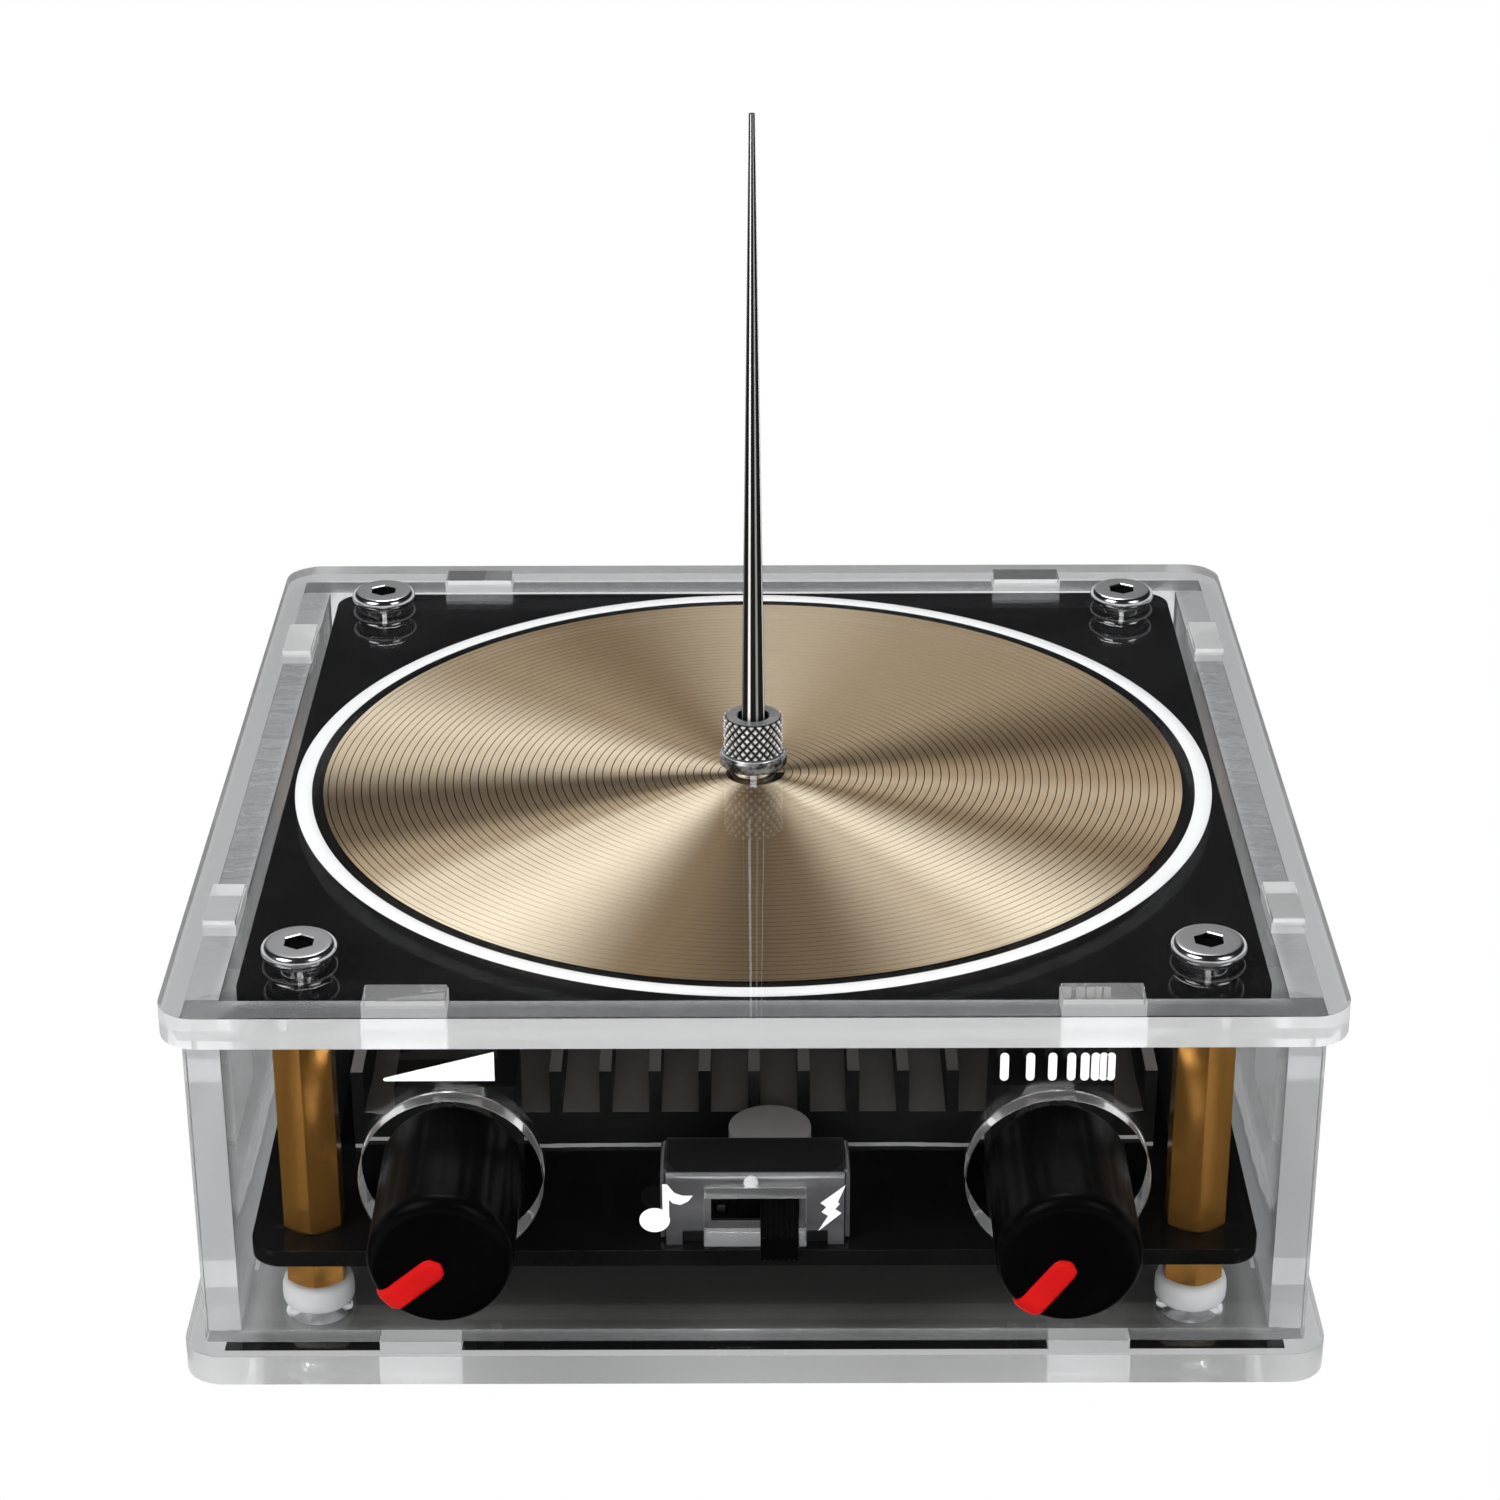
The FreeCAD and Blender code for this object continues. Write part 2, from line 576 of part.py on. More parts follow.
# Corner stacks
top_screw = new_body("top_screw")
head_top = "(collar_height + head_thickness)"
top_screw_end = "(0 - sheet_thickness - lid_gap - board_thickness - top_screw_reach)"
turned(top_screw, "top_screw_profile", [
    ("0", top_screw_end), ("thread_diameter / 2", top_screw_end), ("thread_diameter / 2", "0"),
    ("collar_diameter / 2", "0"), ("collar_diameter / 2", "collar_height"),
    ("head_diameter / 2 - head_edge", "collar_height"), ("head_diameter / 2", "collar_height + head_edge"),
    ("head_diameter / 2", head_top + " - head_edge"), ("head_diameter / 2 - head_edge", head_top),
    ("0", head_top)])
top_socket = sketch_in(top_screw, "top_screw_socket", "XY_Plane", head_top)
hexagon(top_socket, "socket_width")
feature(top_screw, "Pocket", top_socket, "socket_depth")
copies("top_screws", top_screw, corners(case_top))


def standoff(name, height, stud, bore):
    body = new_body(name)
    prism = sketch_in(body, name + "_hexagon", "XY_Plane")
    hexagon(prism, "hex_width")
    feature(body, "Pad", prism, height)
    corner = "(hex_width / sqrt(3) + hex_bevel)"
    for end, face, inward in (("bottom", "0", "hex_bevel"), ("top", height, height + " - hex_bevel")):
        turned(body, name + "_" + end, [("hex_width / 2", face), (corner, face), (corner, inward)], "Groove")
    if stud:
        peg = sketch_in(body, name + "_stud", "XY_Plane")
        circle(peg, "0", "0", "thread_diameter / 2")
        feature(body, "Pad", peg, stud, reverse=True)
    hole = sketch_in(body, name + "_bore", "XY_Plane", height)
    circle(hole, "0", "0", bore_radius)
    feature(body, "Pocket", hole, bore)
    return body


long_standoff = standoff("long_standoff", "(" + coil_z + " - " + board_top + ")",
                         "(board_thickness + stud_reach)", "(top_screw_reach + bore_spare)")
short_standoff = standoff("short_standoff", "short_standoff_height", None, "through")
copies("long_standoffs", long_standoff, corners(board_top))
copies("short_standoffs", short_standoff, corners(short_standoff_z))

spacer = new_body("nylon_spacer")
turned(spacer, "spacer_profile", [
    (hole_radius, "0"), ("spacer_diameter / 2", "0"),
    ("spacer_diameter / 2", "spacer_height - spacer_edge"),
    ("spacer_diameter / 2 - spacer_edge", "spacer_height"), (hole_radius, "spacer_height")])
copies("nylon_spacers", spacer, corners("sheet_thickness"))

bottom_screw = new_body("bottom_screw")
bottom_screw_end = "(" + board_z + " - stud_reach - screw_end_gap - sunk_depth)"
turned(bottom_screw, "bottom_screw_profile", [
    ("0", "0"), ("sunk_head_diameter / 2", "0"), ("thread_diameter / 2", "sunk_head_height"),
    ("thread_diameter / 2", bottom_screw_end), ("0", bottom_screw_end)])
bottom_socket = sketch_in(bottom_screw, "bottom_screw_socket", "XY_Plane")
hexagon(bottom_socket, "socket_width")
feature(bottom_screw, "Pocket", bottom_socket, "socket_depth", reverse=True)
copies("bottom_screws", bottom_screw, corners("sunk_depth"))


# Boards
def board(node, base, round_holes):
    body = new_body(node)
    slab = sketch_in(body, node + "_edge", "XY_Plane", base)
    rounded_rectangle(slab, board_half_x, board_half_y, "board_corner_radius")
    feature(body, "Pad", slab, "board_thickness")
    holes = sketch_in(body, node + "_holes", "XY_Plane", base)
    for x, y, radius in round_holes:
        circle(holes, x, y, radius)
    feature(body, "Pocket", holes, "through", reverse=True)
    return keep(body, node)


sink_screw_x = "(" + sink_half_width + " - sink_screw_inset_side)"
sink_screw_y = ["(" + sink_front + " + sink_screw_inset_end)", "(" + sink_back + " - sink_screw_inset_end)"]
sink_screws = [(x, y) for x in (sink_screw_x, minus(sink_screw_x)) for y in sink_screw_y]
pot_middle_y = "(" + panel_face + " + pot_front + pot_depth / 2)"
pot_pins = {side: [(x, pot_middle_y) for x in in_a_row(middle, 3, "pot_pin_pitch")]
            for side, middle in (("power", minus(knob_x)), ("frequency", knob_x))}
pot_pin_room = "(pot_pin_width / sqrt(2) + pin_clearance)"
switch_middle_y = "(" + switch_face + " + switch_depth / 2)"
switch_pins = [(x, switch_middle_y) for x in in_a_row("switch_middle", 3, "switch_pin_pitch")]
switch_pin_room = "(switch_pin_width / sqrt(2) + pin_clearance)"

main_holes = screw_holes + [(x, y, hole_radius) for x, y in sink_screws]
main_holes += [(x, y, pot_pin_room) for x, y in pot_pins["power"] + pot_pins["frequency"]]
main_holes += [(x, y, switch_pin_room) for x, y in switch_pins]
board("main_board", board_z, main_holes)
coil_board = board("coil_board", coil_z, screw_holes + [terminal_hole])
secondary_outer_radius = "(" + coil_room + " - secondary_edge_gap)"
recess = sketch_in(coil_board, "coil_recess", "XY_Plane", coil_top)
circle(recess, "0", "0", secondary_outer_radius + " + recess_margin")
feature(coil_board, "Pocket", recess, "secondary_thickness")

# Flat spirals: half circles about two middles, so that every turn runs smoothly into the next.
# The last half turn and its shifted middle reach three quarters of a pitch further out.
spill_share = 3 / 4
half_turn_steps = 12


def half_turn(number_in_line, first_radius, pitch):
    side = 1 if number_in_line % 2 == 0 else -1
    middle = Vector(-side * pitch / 4, 0, 0)
    return side, middle, first_radius + number_in_line * pitch / 2


def half_circle(side, middle, radius):
    outward = Vector(side * radius, 0, 0)
    sideways = Vector(0, side * radius, 0)
    return Part.Arc(middle + outward, middle + sideways, middle - outward).toShape()


def least_gap(half_turns, first_radius, pitch, width):
    line = []
    for k in range(half_turns):
        side, middle, radius = half_turn(k, first_radius, pitch)
        for step in range(half_turn_steps):
            angle = math.pi * step / half_turn_steps
            line.append(middle + Vector(math.cos(angle), math.sin(angle), 0) * side * radius)
    # a point's next half turn is its own run, not a neighbour
    apart = [line[i].distanceToPoint(line[j]) for i in range(len(line))
             for j in range(i + half_turn_steps + 1, len(line))]
    return min(apart) - width


def spiral_track(node, turns, first_radius, pitch, width, thickness, base):
    half_turns = 2 * int(turns)
    inner, outer = [], []
    for k in range(half_turns):
        side, middle, radius = half_turn(k, first_radius, pitch)
        inner.append(half_circle(side, middle, radius - width / 2))
        outer.append(half_circle(side, middle, radius + width / 2))
    first_cap = Part.LineSegment(inner[0].Vertexes[0].Point, outer[0].Vertexes[0].Point).toShape()
    last_cap = Part.LineSegment(inner[-1].Vertexes[-1].Point, outer[-1].Vertexes[-1].Point).toShape()
    wire = Part.Wire(Part.__sortEdges__(inner + outer + [first_cap, last_cap]))
    track = doc.addObject("Part::Feature", node)
    track.Shape = Part.Face(wire).extrude(Vector(0, 0, thickness))
    track.Placement = Placement(Vector(0, 0, base), Rotation())
    print("%s: least gap to itself %.3f mm" % (node, least_gap(half_turns, first_radius, pitch, width)))
    return keep(track, node)


secondary_turns = number("secondary_turns")
secondary_room = number(secondary_outer_radius + " - secondary_inner_radius + secondary_gap")
secondary_pitch = secondary_room / (secondary_turns + spill_share)
secondary_width = secondary_pitch - number("secondary_gap")
secondary_start = number("secondary_inner_radius") + secondary_width / 2
spiral_track("secondary_coil", secondary_turns, secondary_start, secondary_pitch, secondary_width,
             number("secondary_thickness"), number(coil_top + " - secondary_thickness"))
primary_turns = number("primary_turns")
primary_width = number("primary_track_width")
primary_pitch = number("primary_track_width + primary_gap")
primary_run = (primary_turns - 1 + spill_share) * primary_pitch
primary_start = number(coil_room + " - primary_edge_gap") - primary_width / 2 - primary_run
spiral_track("primary_coil", primary_turns, primary_start, primary_pitch, primary_width,
             number("primary_thickness"), number(coil_z + " - primary_thickness"))


# Needle terminal
flange_z = "(" + coil_z + " - terminal_flange_height)"
post_top = "(" + case_top + " + terminal_rise)"
post_floor = "(" + coil_z + " + terminal_floor)"
post_bore = "(needle_diameter / 2 + needle_clearance)"
post = new_body("terminal_post")
turned(post, "post_profile", [
    ("0", flange_z), ("terminal_flange_diameter / 2", flange_z), ("terminal_flange_diameter / 2", coil_z),
    ("terminal_diameter / 2", coil_z), ("terminal_diameter / 2", post_top),
    (post_bore, post_top), (post_bore, post_floor), ("0", post_floor)])
keep(post, "terminal_post")

nut = new_body("knurled_nut")
nut_bore = "(terminal_diameter / 2 + nut_thread_clearance)"
nut_bore_end = "(terminal_rise + nut_thread_spare)"
turned(nut, "nut_profile", [
    (nut_bore, "0"), ("nut_flange_diameter / 2", "0"),
    ("nut_flange_diameter / 2", "nut_flange_height - nut_bevel"), ("nut_diameter / 2", "nut_flange_height"),
    ("nut_diameter / 2", "nut_height - nut_edge"), ("nut_diameter / 2 - nut_edge", "nut_height"),
    ("nut_hole_diameter / 2", "nut_height"), ("nut_hole_diameter / 2", nut_bore_end),
    (nut_bore, nut_bore_end)])
bind(nut, Placement__Base__z=case_top)
keep(nut, "knurled_nut")

needle = new_body("discharge_needle")
turned(needle, "needle_profile", [
    ("0", "0"), ("needle_diameter / 2", "0"), ("needle_diameter / 2", "needle_foot_length"),
    ("needle_tip_diameter / 2", "needle_length"), ("0", "needle_length")])
bind(needle, Placement__Base__z=post_floor + " + needle_seat_gap")
keep(needle, "discharge_needle")


# Heat sink, its pad and its screws
sink = new_body("heat_sink")
sink_base = sketch_in(sink, "sink_base", "XY_Plane", sink_z)
rectangle(sink_base, (minus(sink_half_width), sink_half_width), (sink_front, sink_back))
feature(sink, "Pad", sink_base, "sink_base_height")
fin = sketch_in(sink, "fin", "XY_Plane", sink_z)
rectangle(fin, (minus(sink_half_width), "(fin_thickness - " + sink_half_width + ")"), (sink_front, sink_back))
fin_pad = feature(sink, "Pad", fin, "sink_base_height + fin_height")
fins = sink.newObject("PartDesign::LinearPattern", "fins")
fins.Originals = [fin_pad]
fins.Direction = (fin, ["H_Axis"])
bind(fins, Length="2 * " + sink_half_width + " - fin_thickness", Occurrences="fin_count")
sink.Tip = fins
sink_bores = sketch_in(sink, "sink_bores", "XY_Plane", sink_z)
for x, y in sink_screws:
    circle(sink_bores, x, y, bore_radius)
feature(sink, "Pocket", sink_bores, "sink_screw_reach + sink_bore_spare", reverse=True)
keep(sink, "heat_sink")

pad = new_body("thermal_pad")
pad_sheet = sketch_in(pad, "pad_sheet", "XY_Plane", board_top)
rectangle(pad_sheet, (minus(sink_half_width), sink_half_width), (sink_front, sink_back))
for x, y in sink_screws:
    circle(pad_sheet, x, y, hole_radius)
feature(pad, "Pad", pad_sheet, "pad_thickness")
keep(pad, "thermal_pad")

sink_screw = new_body("sink_screw")
sink_screw_end = "(board_thickness + pad_thickness + sink_screw_reach)"
turned(sink_screw, "sink_screw_profile", [
    ("0", "0 - pan_head_height"), ("pan_head_diameter / 2 - head_edge", "0 - pan_head_height"),
    ("pan_head_diameter / 2", "head_edge - pan_head_height"), ("pan_head_diameter / 2", "0"),
    ("thread_diameter / 2", "0"), ("thread_diameter / 2", sink_screw_end), ("0", sink_screw_end)])
copies("heat_sink_screws", sink_screw, [(x, y, board_z) for x, y in sink_screws])


# Pins through the driver board, and the room that each has in its housing
def pin(name, x, y, width, top):
    return block(name, around(x, width), around(y, width), ("(" + board_z + " - pin_tail)", top))


def pin_room(name, x, y, half, top):
    return block(name, around(x, "(2 * " + half + ")"), around(y, "(2 * " + half + ")"),
                 ("(" + board_top + " - cut_overrun)", top))


# The knob stands on its back here, with its face up, and is laid on its axis afterwards
def pointer_bar(name, grow):
    # an L: a bar in the knob's face and a leg down its side
    width = around("0", "(pointer_width + 2 * " + grow + ")")
    rim = "(knob_diameter / 2 + pointer_proud)"
    face = "(knob_length + pointer_proud)"
    bar = block(name + "_bar", width, ("(pointer_start - " + grow + ")", rim),
                ("(knob_length - pointer_depth - " + grow + ")", face))
    leg = block(name + "_leg", width, ("(knob_diameter / 2 - pointer_side_depth - " + grow + ")", rim),
                ("(knob_length - pointer_side_length - " + grow + ")", face))
    return joined(name, [bar, leg])


def knob_solid(name):
    body = new_body(name)
    turned(body, name + "_profile", [("0", "0"), ("knob_diameter / 2", "0")]
           + rounded_rim("knob_diameter / 2", "knob_length", "knob_edge") + [("0", "knob_length")])
    flute = sketch_in(body, name + "_flute", "XY_Plane")
    circle(flute, "0", "knob_diameter / 2 + flute_radius - flute_depth", "flute_radius")
    groove = feature(body, "Pocket", flute, "knob_length - flute_end_gap", reverse=True)
    flutes = body.newObject("PartDesign::PolarPattern", name + "_flutes")
    flutes.Originals = [groove]
    flutes.Axis = (flute, ["N_Axis"])
    flutes.Angle = 360
    bind(flutes, Occurrences="flute_count")
    body.Tip = flutes
    bore = sketch_in(body, name + "_bore", "XY_Plane")
    circle(bore, "0", "0", "shaft_diameter / 2 + knob_bore_clearance")
    feature(body, "Pocket", bore, "knob_length - knob_face_thickness", reverse=True)
    # the key fills the bore beside the shaft's flat and ends halfway through the knob's wall
    key = sketch_in(body, name + "_key", "XY_Plane")
    wall_middle = "((shaft_diameter / 2 + knob_bore_clearance + knob_diameter / 2 - flute_depth) / 2)"
    rectangle(key, around("0", "shaft_diameter"), ("(shaft_flat + knob_bore_clearance)", wall_middle))
    feature(body, "Pad", key, "knob_length - knob_face_thickness")
    return body


pot_face_y = "(" + panel_face + " + pot_front)"
knob_back_y = "(" + pot_face_y + " - bushing_length - bushing_gap)"
shaft_tip_y = "(" + knob_back_y + " - knob_length + knob_face_thickness + shaft_end_gap)"
shaft_back_y = "(" + pot_face_y + " + shaft_root)"


# One set of knob, shaft and potentiometer for each side
def control(side, x, angle):
    turn = Rotation(Vector(1, 0, 0), 90).multiply(Rotation(Vector(0, 0, 1), number(angle)))

    def lay_on_axis(piece, y):
        piece.Placement = Placement(Vector(0, 0, 0), turn)
        bind(piece, Placement__Base__x=x, Placement__Base__y=y, Placement__Base__z="knob_axis_height")

    slot = pointer_bar(side + "_slot", "pointer_clearance")
    knob = cut_from(side + "_knob", knob_solid(side + "_knob_body"), [slot])
    lay_on_axis(knob, knob_back_y)
    keep(knob, side + "_knob")
    pointer = doc.addObject("Part::Common", side + "_knob_pointer")
    pointer.Base = pointer_bar(side + "_pointer", "0")
    pointer.Tool = rod(side + "_pointer_round", "knob_diameter / 2 + pointer_proud",
                       "knob_length + pointer_proud", "0", "0", "0")
    lay_on_axis(pointer, knob_back_y)
    keep(pointer, side + "_knob_pointer")

    # the shaft's length runs from the potentiometer to the knob
    shaft_length = "(%s - %s)" % (shaft_back_y, shaft_tip_y)
    flat_start = "(%s - %s)" % (shaft_back_y, knob_back_y)
    shaft_rod = rod(side + "_shaft_rod", "shaft_diameter / 2", shaft_length, "0", "0", "0")
    flat = block(side + "_shaft_flat", around("0", "(shaft_diameter + 2 * cut_overrun)"),
                 ("shaft_flat", "(shaft_diameter / 2 + cut_overrun)"),
                 (flat_start, "(" + shaft_length + " + cut_overrun)"))
    shaft = cut_from(side + "_pot_shaft", shaft_rod, [flat])
    lay_on_axis(shaft, shaft_back_y)
    keep(shaft, side + "_pot_shaft")

    bushing_rod = rod(side + "_bushing_rod", "shaft_diameter / 2 + shaft_clearance + bushing_wall",
                      "bushing_length", x, pot_face_y + " - bushing_length", "knob_axis_height", "Y")
    bushing_bore = rod(side + "_bushing_bore", "shaft_diameter / 2 + shaft_clearance",
                       "bushing_length + 2 * cut_overrun", x,
                       pot_face_y + " - bushing_length - cut_overrun", "knob_axis_height", "Y")
    keep(cut_from(side + "_pot_bushing", bushing_rod, [bushing_bore]), side + "_pot_bushing")

    housing = block(side + "_pot_block", around(x, "pot_width"),
                    (pot_face_y, "(" + pot_face_y + " + pot_depth)"),
                    (board_top, "(knob_axis_height + pot_above_axis)"))
    cavity = rod(side + "_pot_cavity", "shaft_diameter / 2 + shaft_clearance",
                 "cut_overrun + shaft_root + shaft_clearance", x,
                 pot_face_y + " - cut_overrun", "knob_axis_height", "Y")
    pin_end = "(" + board_top + " + pin_root)"
    rooms, pins = [], []
    for index, (pin_x, pin_y) in enumerate(pot_pins[side]):
        rooms.append(pin_room("%s_pin_room_%d" % (side, index), pin_x, pin_y, pot_pin_room,
                              "(" + pin_end + " + pin_clearance)"))
        pins.append(pin("%s_pin_%d" % (side, index), pin_x, pin_y, "pot_pin_width", pin_end))
    keep(cut_from(side + "_pot_body", housing, [cavity] + rooms), side + "_pot_body")
    grouped(side + "_pot_pins", pins)


control("power", minus(knob_x), "left_pointer_angle")
control("frequency", knob_x, "right_pointer_angle")


# Slide switch
switch_x = around("switch_middle", "switch_width")
switch_top = "(" + slider_z + " + slider_height + slider_headroom + shell_thickness)"
inner_x = ("(" + switch_x[0] + " + shell_thickness)", "(" + switch_x[1] + " - shell_thickness)")
inner_front = "(" + switch_face + " + shell_thickness)"
inner_back = "(" + switch_back + " - shell_thickness)"
shell_block = block("shell_block", switch_x, (switch_face, switch_back), (board_top, switch_top))
shell_room = block("shell_room", inner_x, (inner_front, inner_back),
                   ("(" + board_top + " - cut_overrun)", "(" + switch_top + " - shell_thickness)"))
shell_slot = block("shell_slot", around("switch_middle", "(" + lever_run + " + 2 * lever_side_clearance)"),
                   ("(" + switch_face + " - cut_overrun)", "(" + inner_front + " + slider_gap)"),
                   around(lever_z, "(lever_thickness + 2 * lever_top_clearance)"))
shell_walls = cut_from("shell_walls", shell_block, [shell_room, shell_slot])
rivet = rod("shell_rivet", "rivet_diameter / 2", "rivet_height + shell_thickness", "switch_middle",
            switch_face + " - rivet_height", switch_top + " - rivet_diameter", "Y")
keep(joined("switch_shell", [shell_walls, rivet]), "switch_shell")

switch_base_top = "(" + board_top + " + switch_base_height)"
base_block = block("switch_base_block",
                   ("(" + inner_x[0] + " + base_gap)", "(" + inner_x[1] + " - base_gap)"),
                   ("(" + inner_front + " + base_gap)", "(" + inner_back + " - base_gap)"),
                   (board_top, switch_base_top))
rooms, pins = [], []
for index, (x, y) in enumerate(switch_pins):
    rooms.append(pin_room("switch_pin_room_%d" % index, x, y, switch_pin_room,
                          "(" + switch_base_top + " + cut_overrun)"))
    pins.append(pin("switch_pin_%d" % index, x, y, "switch_pin_width", switch_base_top))
keep(cut_from("switch_base", base_block, rooms), "switch_base")
grouped("switch_pins", pins)

# at rest the lever is at the right end of its travel
lever_x = "(switch_middle + lever_travel / 2)"
slider_front = "(" + inner_front + " + slider_gap)"
slider = block("slider", around(lever_x, "slider_width"),
               (slider_front, "(" + slider_front + " + slider_depth)"),
               (slider_z, "(" + slider_z + " + slider_height)"))
lever = block("lever", around(lever_x, "lever_width"),
              ("(" + panel_face + " - lever_reach)", "(" + slider_front + " + slider_depth / 2)"),
              around(lever_z, "lever_thickness"))
keep(joined("switch_lever", [slider, lever]), "switch_lever")


# Sockets
dc_face = "(" + wall_y + " - dc_setback)"
dc_bore_floor = "(" + dc_face + " - dc_bore_depth)"
dc_block = block("dc_block", around(dc_x, "dc_width"), ("(" + dc_face + " - dc_depth)", dc_face),
                 (board_top, "(" + board_top + " + dc_height)"))
dc_bore = rod("dc_bore", "dc_bore_diameter / 2", "dc_bore_depth + cut_overrun", dc_x,
              dc_bore_floor, dc_axis_z, "Y")
dc_pin_room = rod("dc_pin_room", "dc_pin_diameter / 2", "dc_pin_root + cut_overrun", dc_x,
                  dc_bore_floor + " - dc_pin_root", dc_axis_z, "Y")
keep(cut_from("dc_socket", dc_block, [dc_bore, dc_pin_room]), "dc_socket")
keep(rod("dc_centre_pin", "dc_pin_diameter / 2", "dc_pin_root + dc_bore_depth - dc_pin_recess", dc_x,
         dc_bore_floor + " - dc_pin_root", dc_axis_z, "Y"), "dc_centre_pin")

audio_back = "(" + wall_y_inner + " - socket_gap)"
audio_front = "(" + audio_back + " - audio_depth)"
audio_block = block("audio_block", around(audio_x, "audio_width"), (audio_front, audio_back),
                    (board_top, "(" + board_top + " + audio_height)"))
audio_barrel = rod("audio_barrel", audio_barrel_radius, "audio_depth + audio_barrel_length",
                   audio_x, audio_front, audio_z, "Y")
audio_bore = rod("audio_bore", "audio_bore_diameter / 2",
                 "audio_depth + audio_barrel_length - audio_floor + cut_overrun",
                 audio_x, audio_front + " + audio_floor", audio_z, "Y")
audio_body = joined("audio_body", [audio_block, audio_barrel])
keep(cut_from("audio_socket", audio_body, [audio_bore]), "audio_socket")


# Capacitors
bulk_y = "(" + board_half_y + " - bulk_back_gap - bulk_diameter / 2)"
bung_top = "(" + board_top + " + bung_height)"
cans, bungs = [], []
for index, x in enumerate(in_a_row("0", 2, "(bulk_diameter + bulk_gap)")):
    bungs.append(rod("bung_%d" % index, "bulk_diameter / 2 - bung_inset", "bung_height",
                     x, bulk_y, board_top))
    cans.append(rod("can_%d" % index, "bulk_diameter / 2", coil_z + " - bulk_headroom - " + bung_top,
                    x, bulk_y, bung_top))
grouped("bulk_capacitors", cans)
grouped("bulk_capacitor_bungs", bungs)

front_base_top = "(" + board_top + " + front_base_height)"
keep(rod("front_capacitor", "front_can_diameter / 2", "front_can_height", "front_can_offset", front_can_y,
         front_base_top), "front_capacitor")
keep(block("front_capacitor_base", around("front_can_offset", front_base_width),
           around(front_can_y, front_base_width), (board_top, front_base_top)), "front_capacitor_base")

film_x = "(" + board_half_x + " - film_edge_gap - film_width / 2)"
film_z = "(" + board_top + " + film_stand)"
grouped("film_capacitors", [
    block("film_%d" % index, around(x, "film_width"), (sink_front, "(" + sink_front + " + film_depth)"),
          (film_z, "(" + film_z + " + film_height)"))
    for index, x in enumerate((minus(film_x), film_x))])


# Power transistors and driver chips under the board, flat against it
def transistor(name, x, y):
    body_y = around(y, "transistor_depth")
    metal_z = ("(" + board_z + " - transistor_metal)", board_z)
    body = block(name + "_case", around(x, "transistor_width"), body_y,
                 ("(" + board_z + " - transistor_height)", board_z))
    tab = block(name + "_tab", around(x, "transistor_tab_width"),
                (y, "(" + body_y[1] + " + transistor_tab_depth)"), metal_z)
    leads = [block("%s_lead_%d" % (name, index), around(lead_x, "transistor_lead_width"),
                   ("(" + body_y[0] + " - transistor_lead_length)", y), metal_z)
             for index, lead_x in enumerate(in_a_row(x, 2, "transistor_lead_pitch"))]
    return joined(name, [body, tab] + leads)


def chip(name, x, y):
    body = block(name + "_case", around(x, "chip_width"), around(y, "chip_depth"),
                 ("(" + board_z + " - chip_height)", board_z))
    leads = [block("%s_lead_%d" % (name, index), around(lead_x, "chip_lead_width"),
                   around(y, "(chip_depth + 2 * chip_lead_reach)"),
                   ("(" + board_z + " - chip_lead_thickness)", board_z))
             for index, lead_x in enumerate(in_a_row(x, 4, "chip_lead_pitch"))]
    return joined(name, [body] + leads)


transistor_y = "((" + sink_front + " + " + sink_back + ") / 2)"
leads_front = "(" + transistor_y + " - transistor_depth / 2 - transistor_lead_length)"
chip_y = "(" + leads_front + " - chip_gap - chip_depth / 2)"
grouped("power_transistors", [transistor("transistor_%d" % index, x, transistor_y)
                              for index, x in enumerate(in_a_row("0", 2, "transistor_spacing"))])
grouped("driver_chips", [chip("chip_%d" % index, x, chip_y)
                         for index, x in enumerate(in_a_row("0", 2, "chip_spacing"))])


# Check every object and write one file for each piece
doc.recompute()
failed = [thing.Name for thing in doc.Objects if "Invalid" in thing.State or "Error" in thing.State]
failed += [piece.Label for piece in pieces if piece.Shape.isNull() or not piece.Shape.isValid()]
if failed:
    raise SystemExit("failed: " + ", ".join(failed))
os.makedirs("parts", exist_ok=True)
for piece in pieces:
    piece.Shape.exportStep("parts/%s.step" % piece.Label)
print("%d pieces written" % len(pieces))
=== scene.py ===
import bpy
import bmesh
import math
from mathutils import Matrix, Vector


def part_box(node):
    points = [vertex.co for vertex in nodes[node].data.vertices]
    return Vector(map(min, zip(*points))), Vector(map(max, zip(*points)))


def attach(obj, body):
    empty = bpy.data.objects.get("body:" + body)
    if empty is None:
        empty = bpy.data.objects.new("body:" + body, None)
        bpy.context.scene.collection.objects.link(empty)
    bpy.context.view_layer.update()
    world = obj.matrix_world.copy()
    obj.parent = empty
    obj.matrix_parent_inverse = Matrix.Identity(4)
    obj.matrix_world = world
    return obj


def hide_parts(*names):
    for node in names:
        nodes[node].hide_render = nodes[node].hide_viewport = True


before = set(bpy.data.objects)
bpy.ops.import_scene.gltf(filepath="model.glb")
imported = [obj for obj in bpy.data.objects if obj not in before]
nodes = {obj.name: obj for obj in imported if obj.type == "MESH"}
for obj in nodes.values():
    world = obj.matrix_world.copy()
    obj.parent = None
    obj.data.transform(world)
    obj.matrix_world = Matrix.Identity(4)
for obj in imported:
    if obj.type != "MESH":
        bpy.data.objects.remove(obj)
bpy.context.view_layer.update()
mm = 0.001
print("frame loaded,", len(nodes), "nodes")


# shader trees

bumpDepth = 0.02 * mm


def newMaterial(name):
    mat = bpy.data.materials.new(name)
    mat.use_nodes = True
    tree = mat.node_tree
    return mat, tree, tree.nodes["Principled BSDF"]


def addNode(tree, kind, **values):
    node = tree.nodes.new("ShaderNode" + kind)
    for key, value in values.items():
        setattr(node, key, value)
    return node


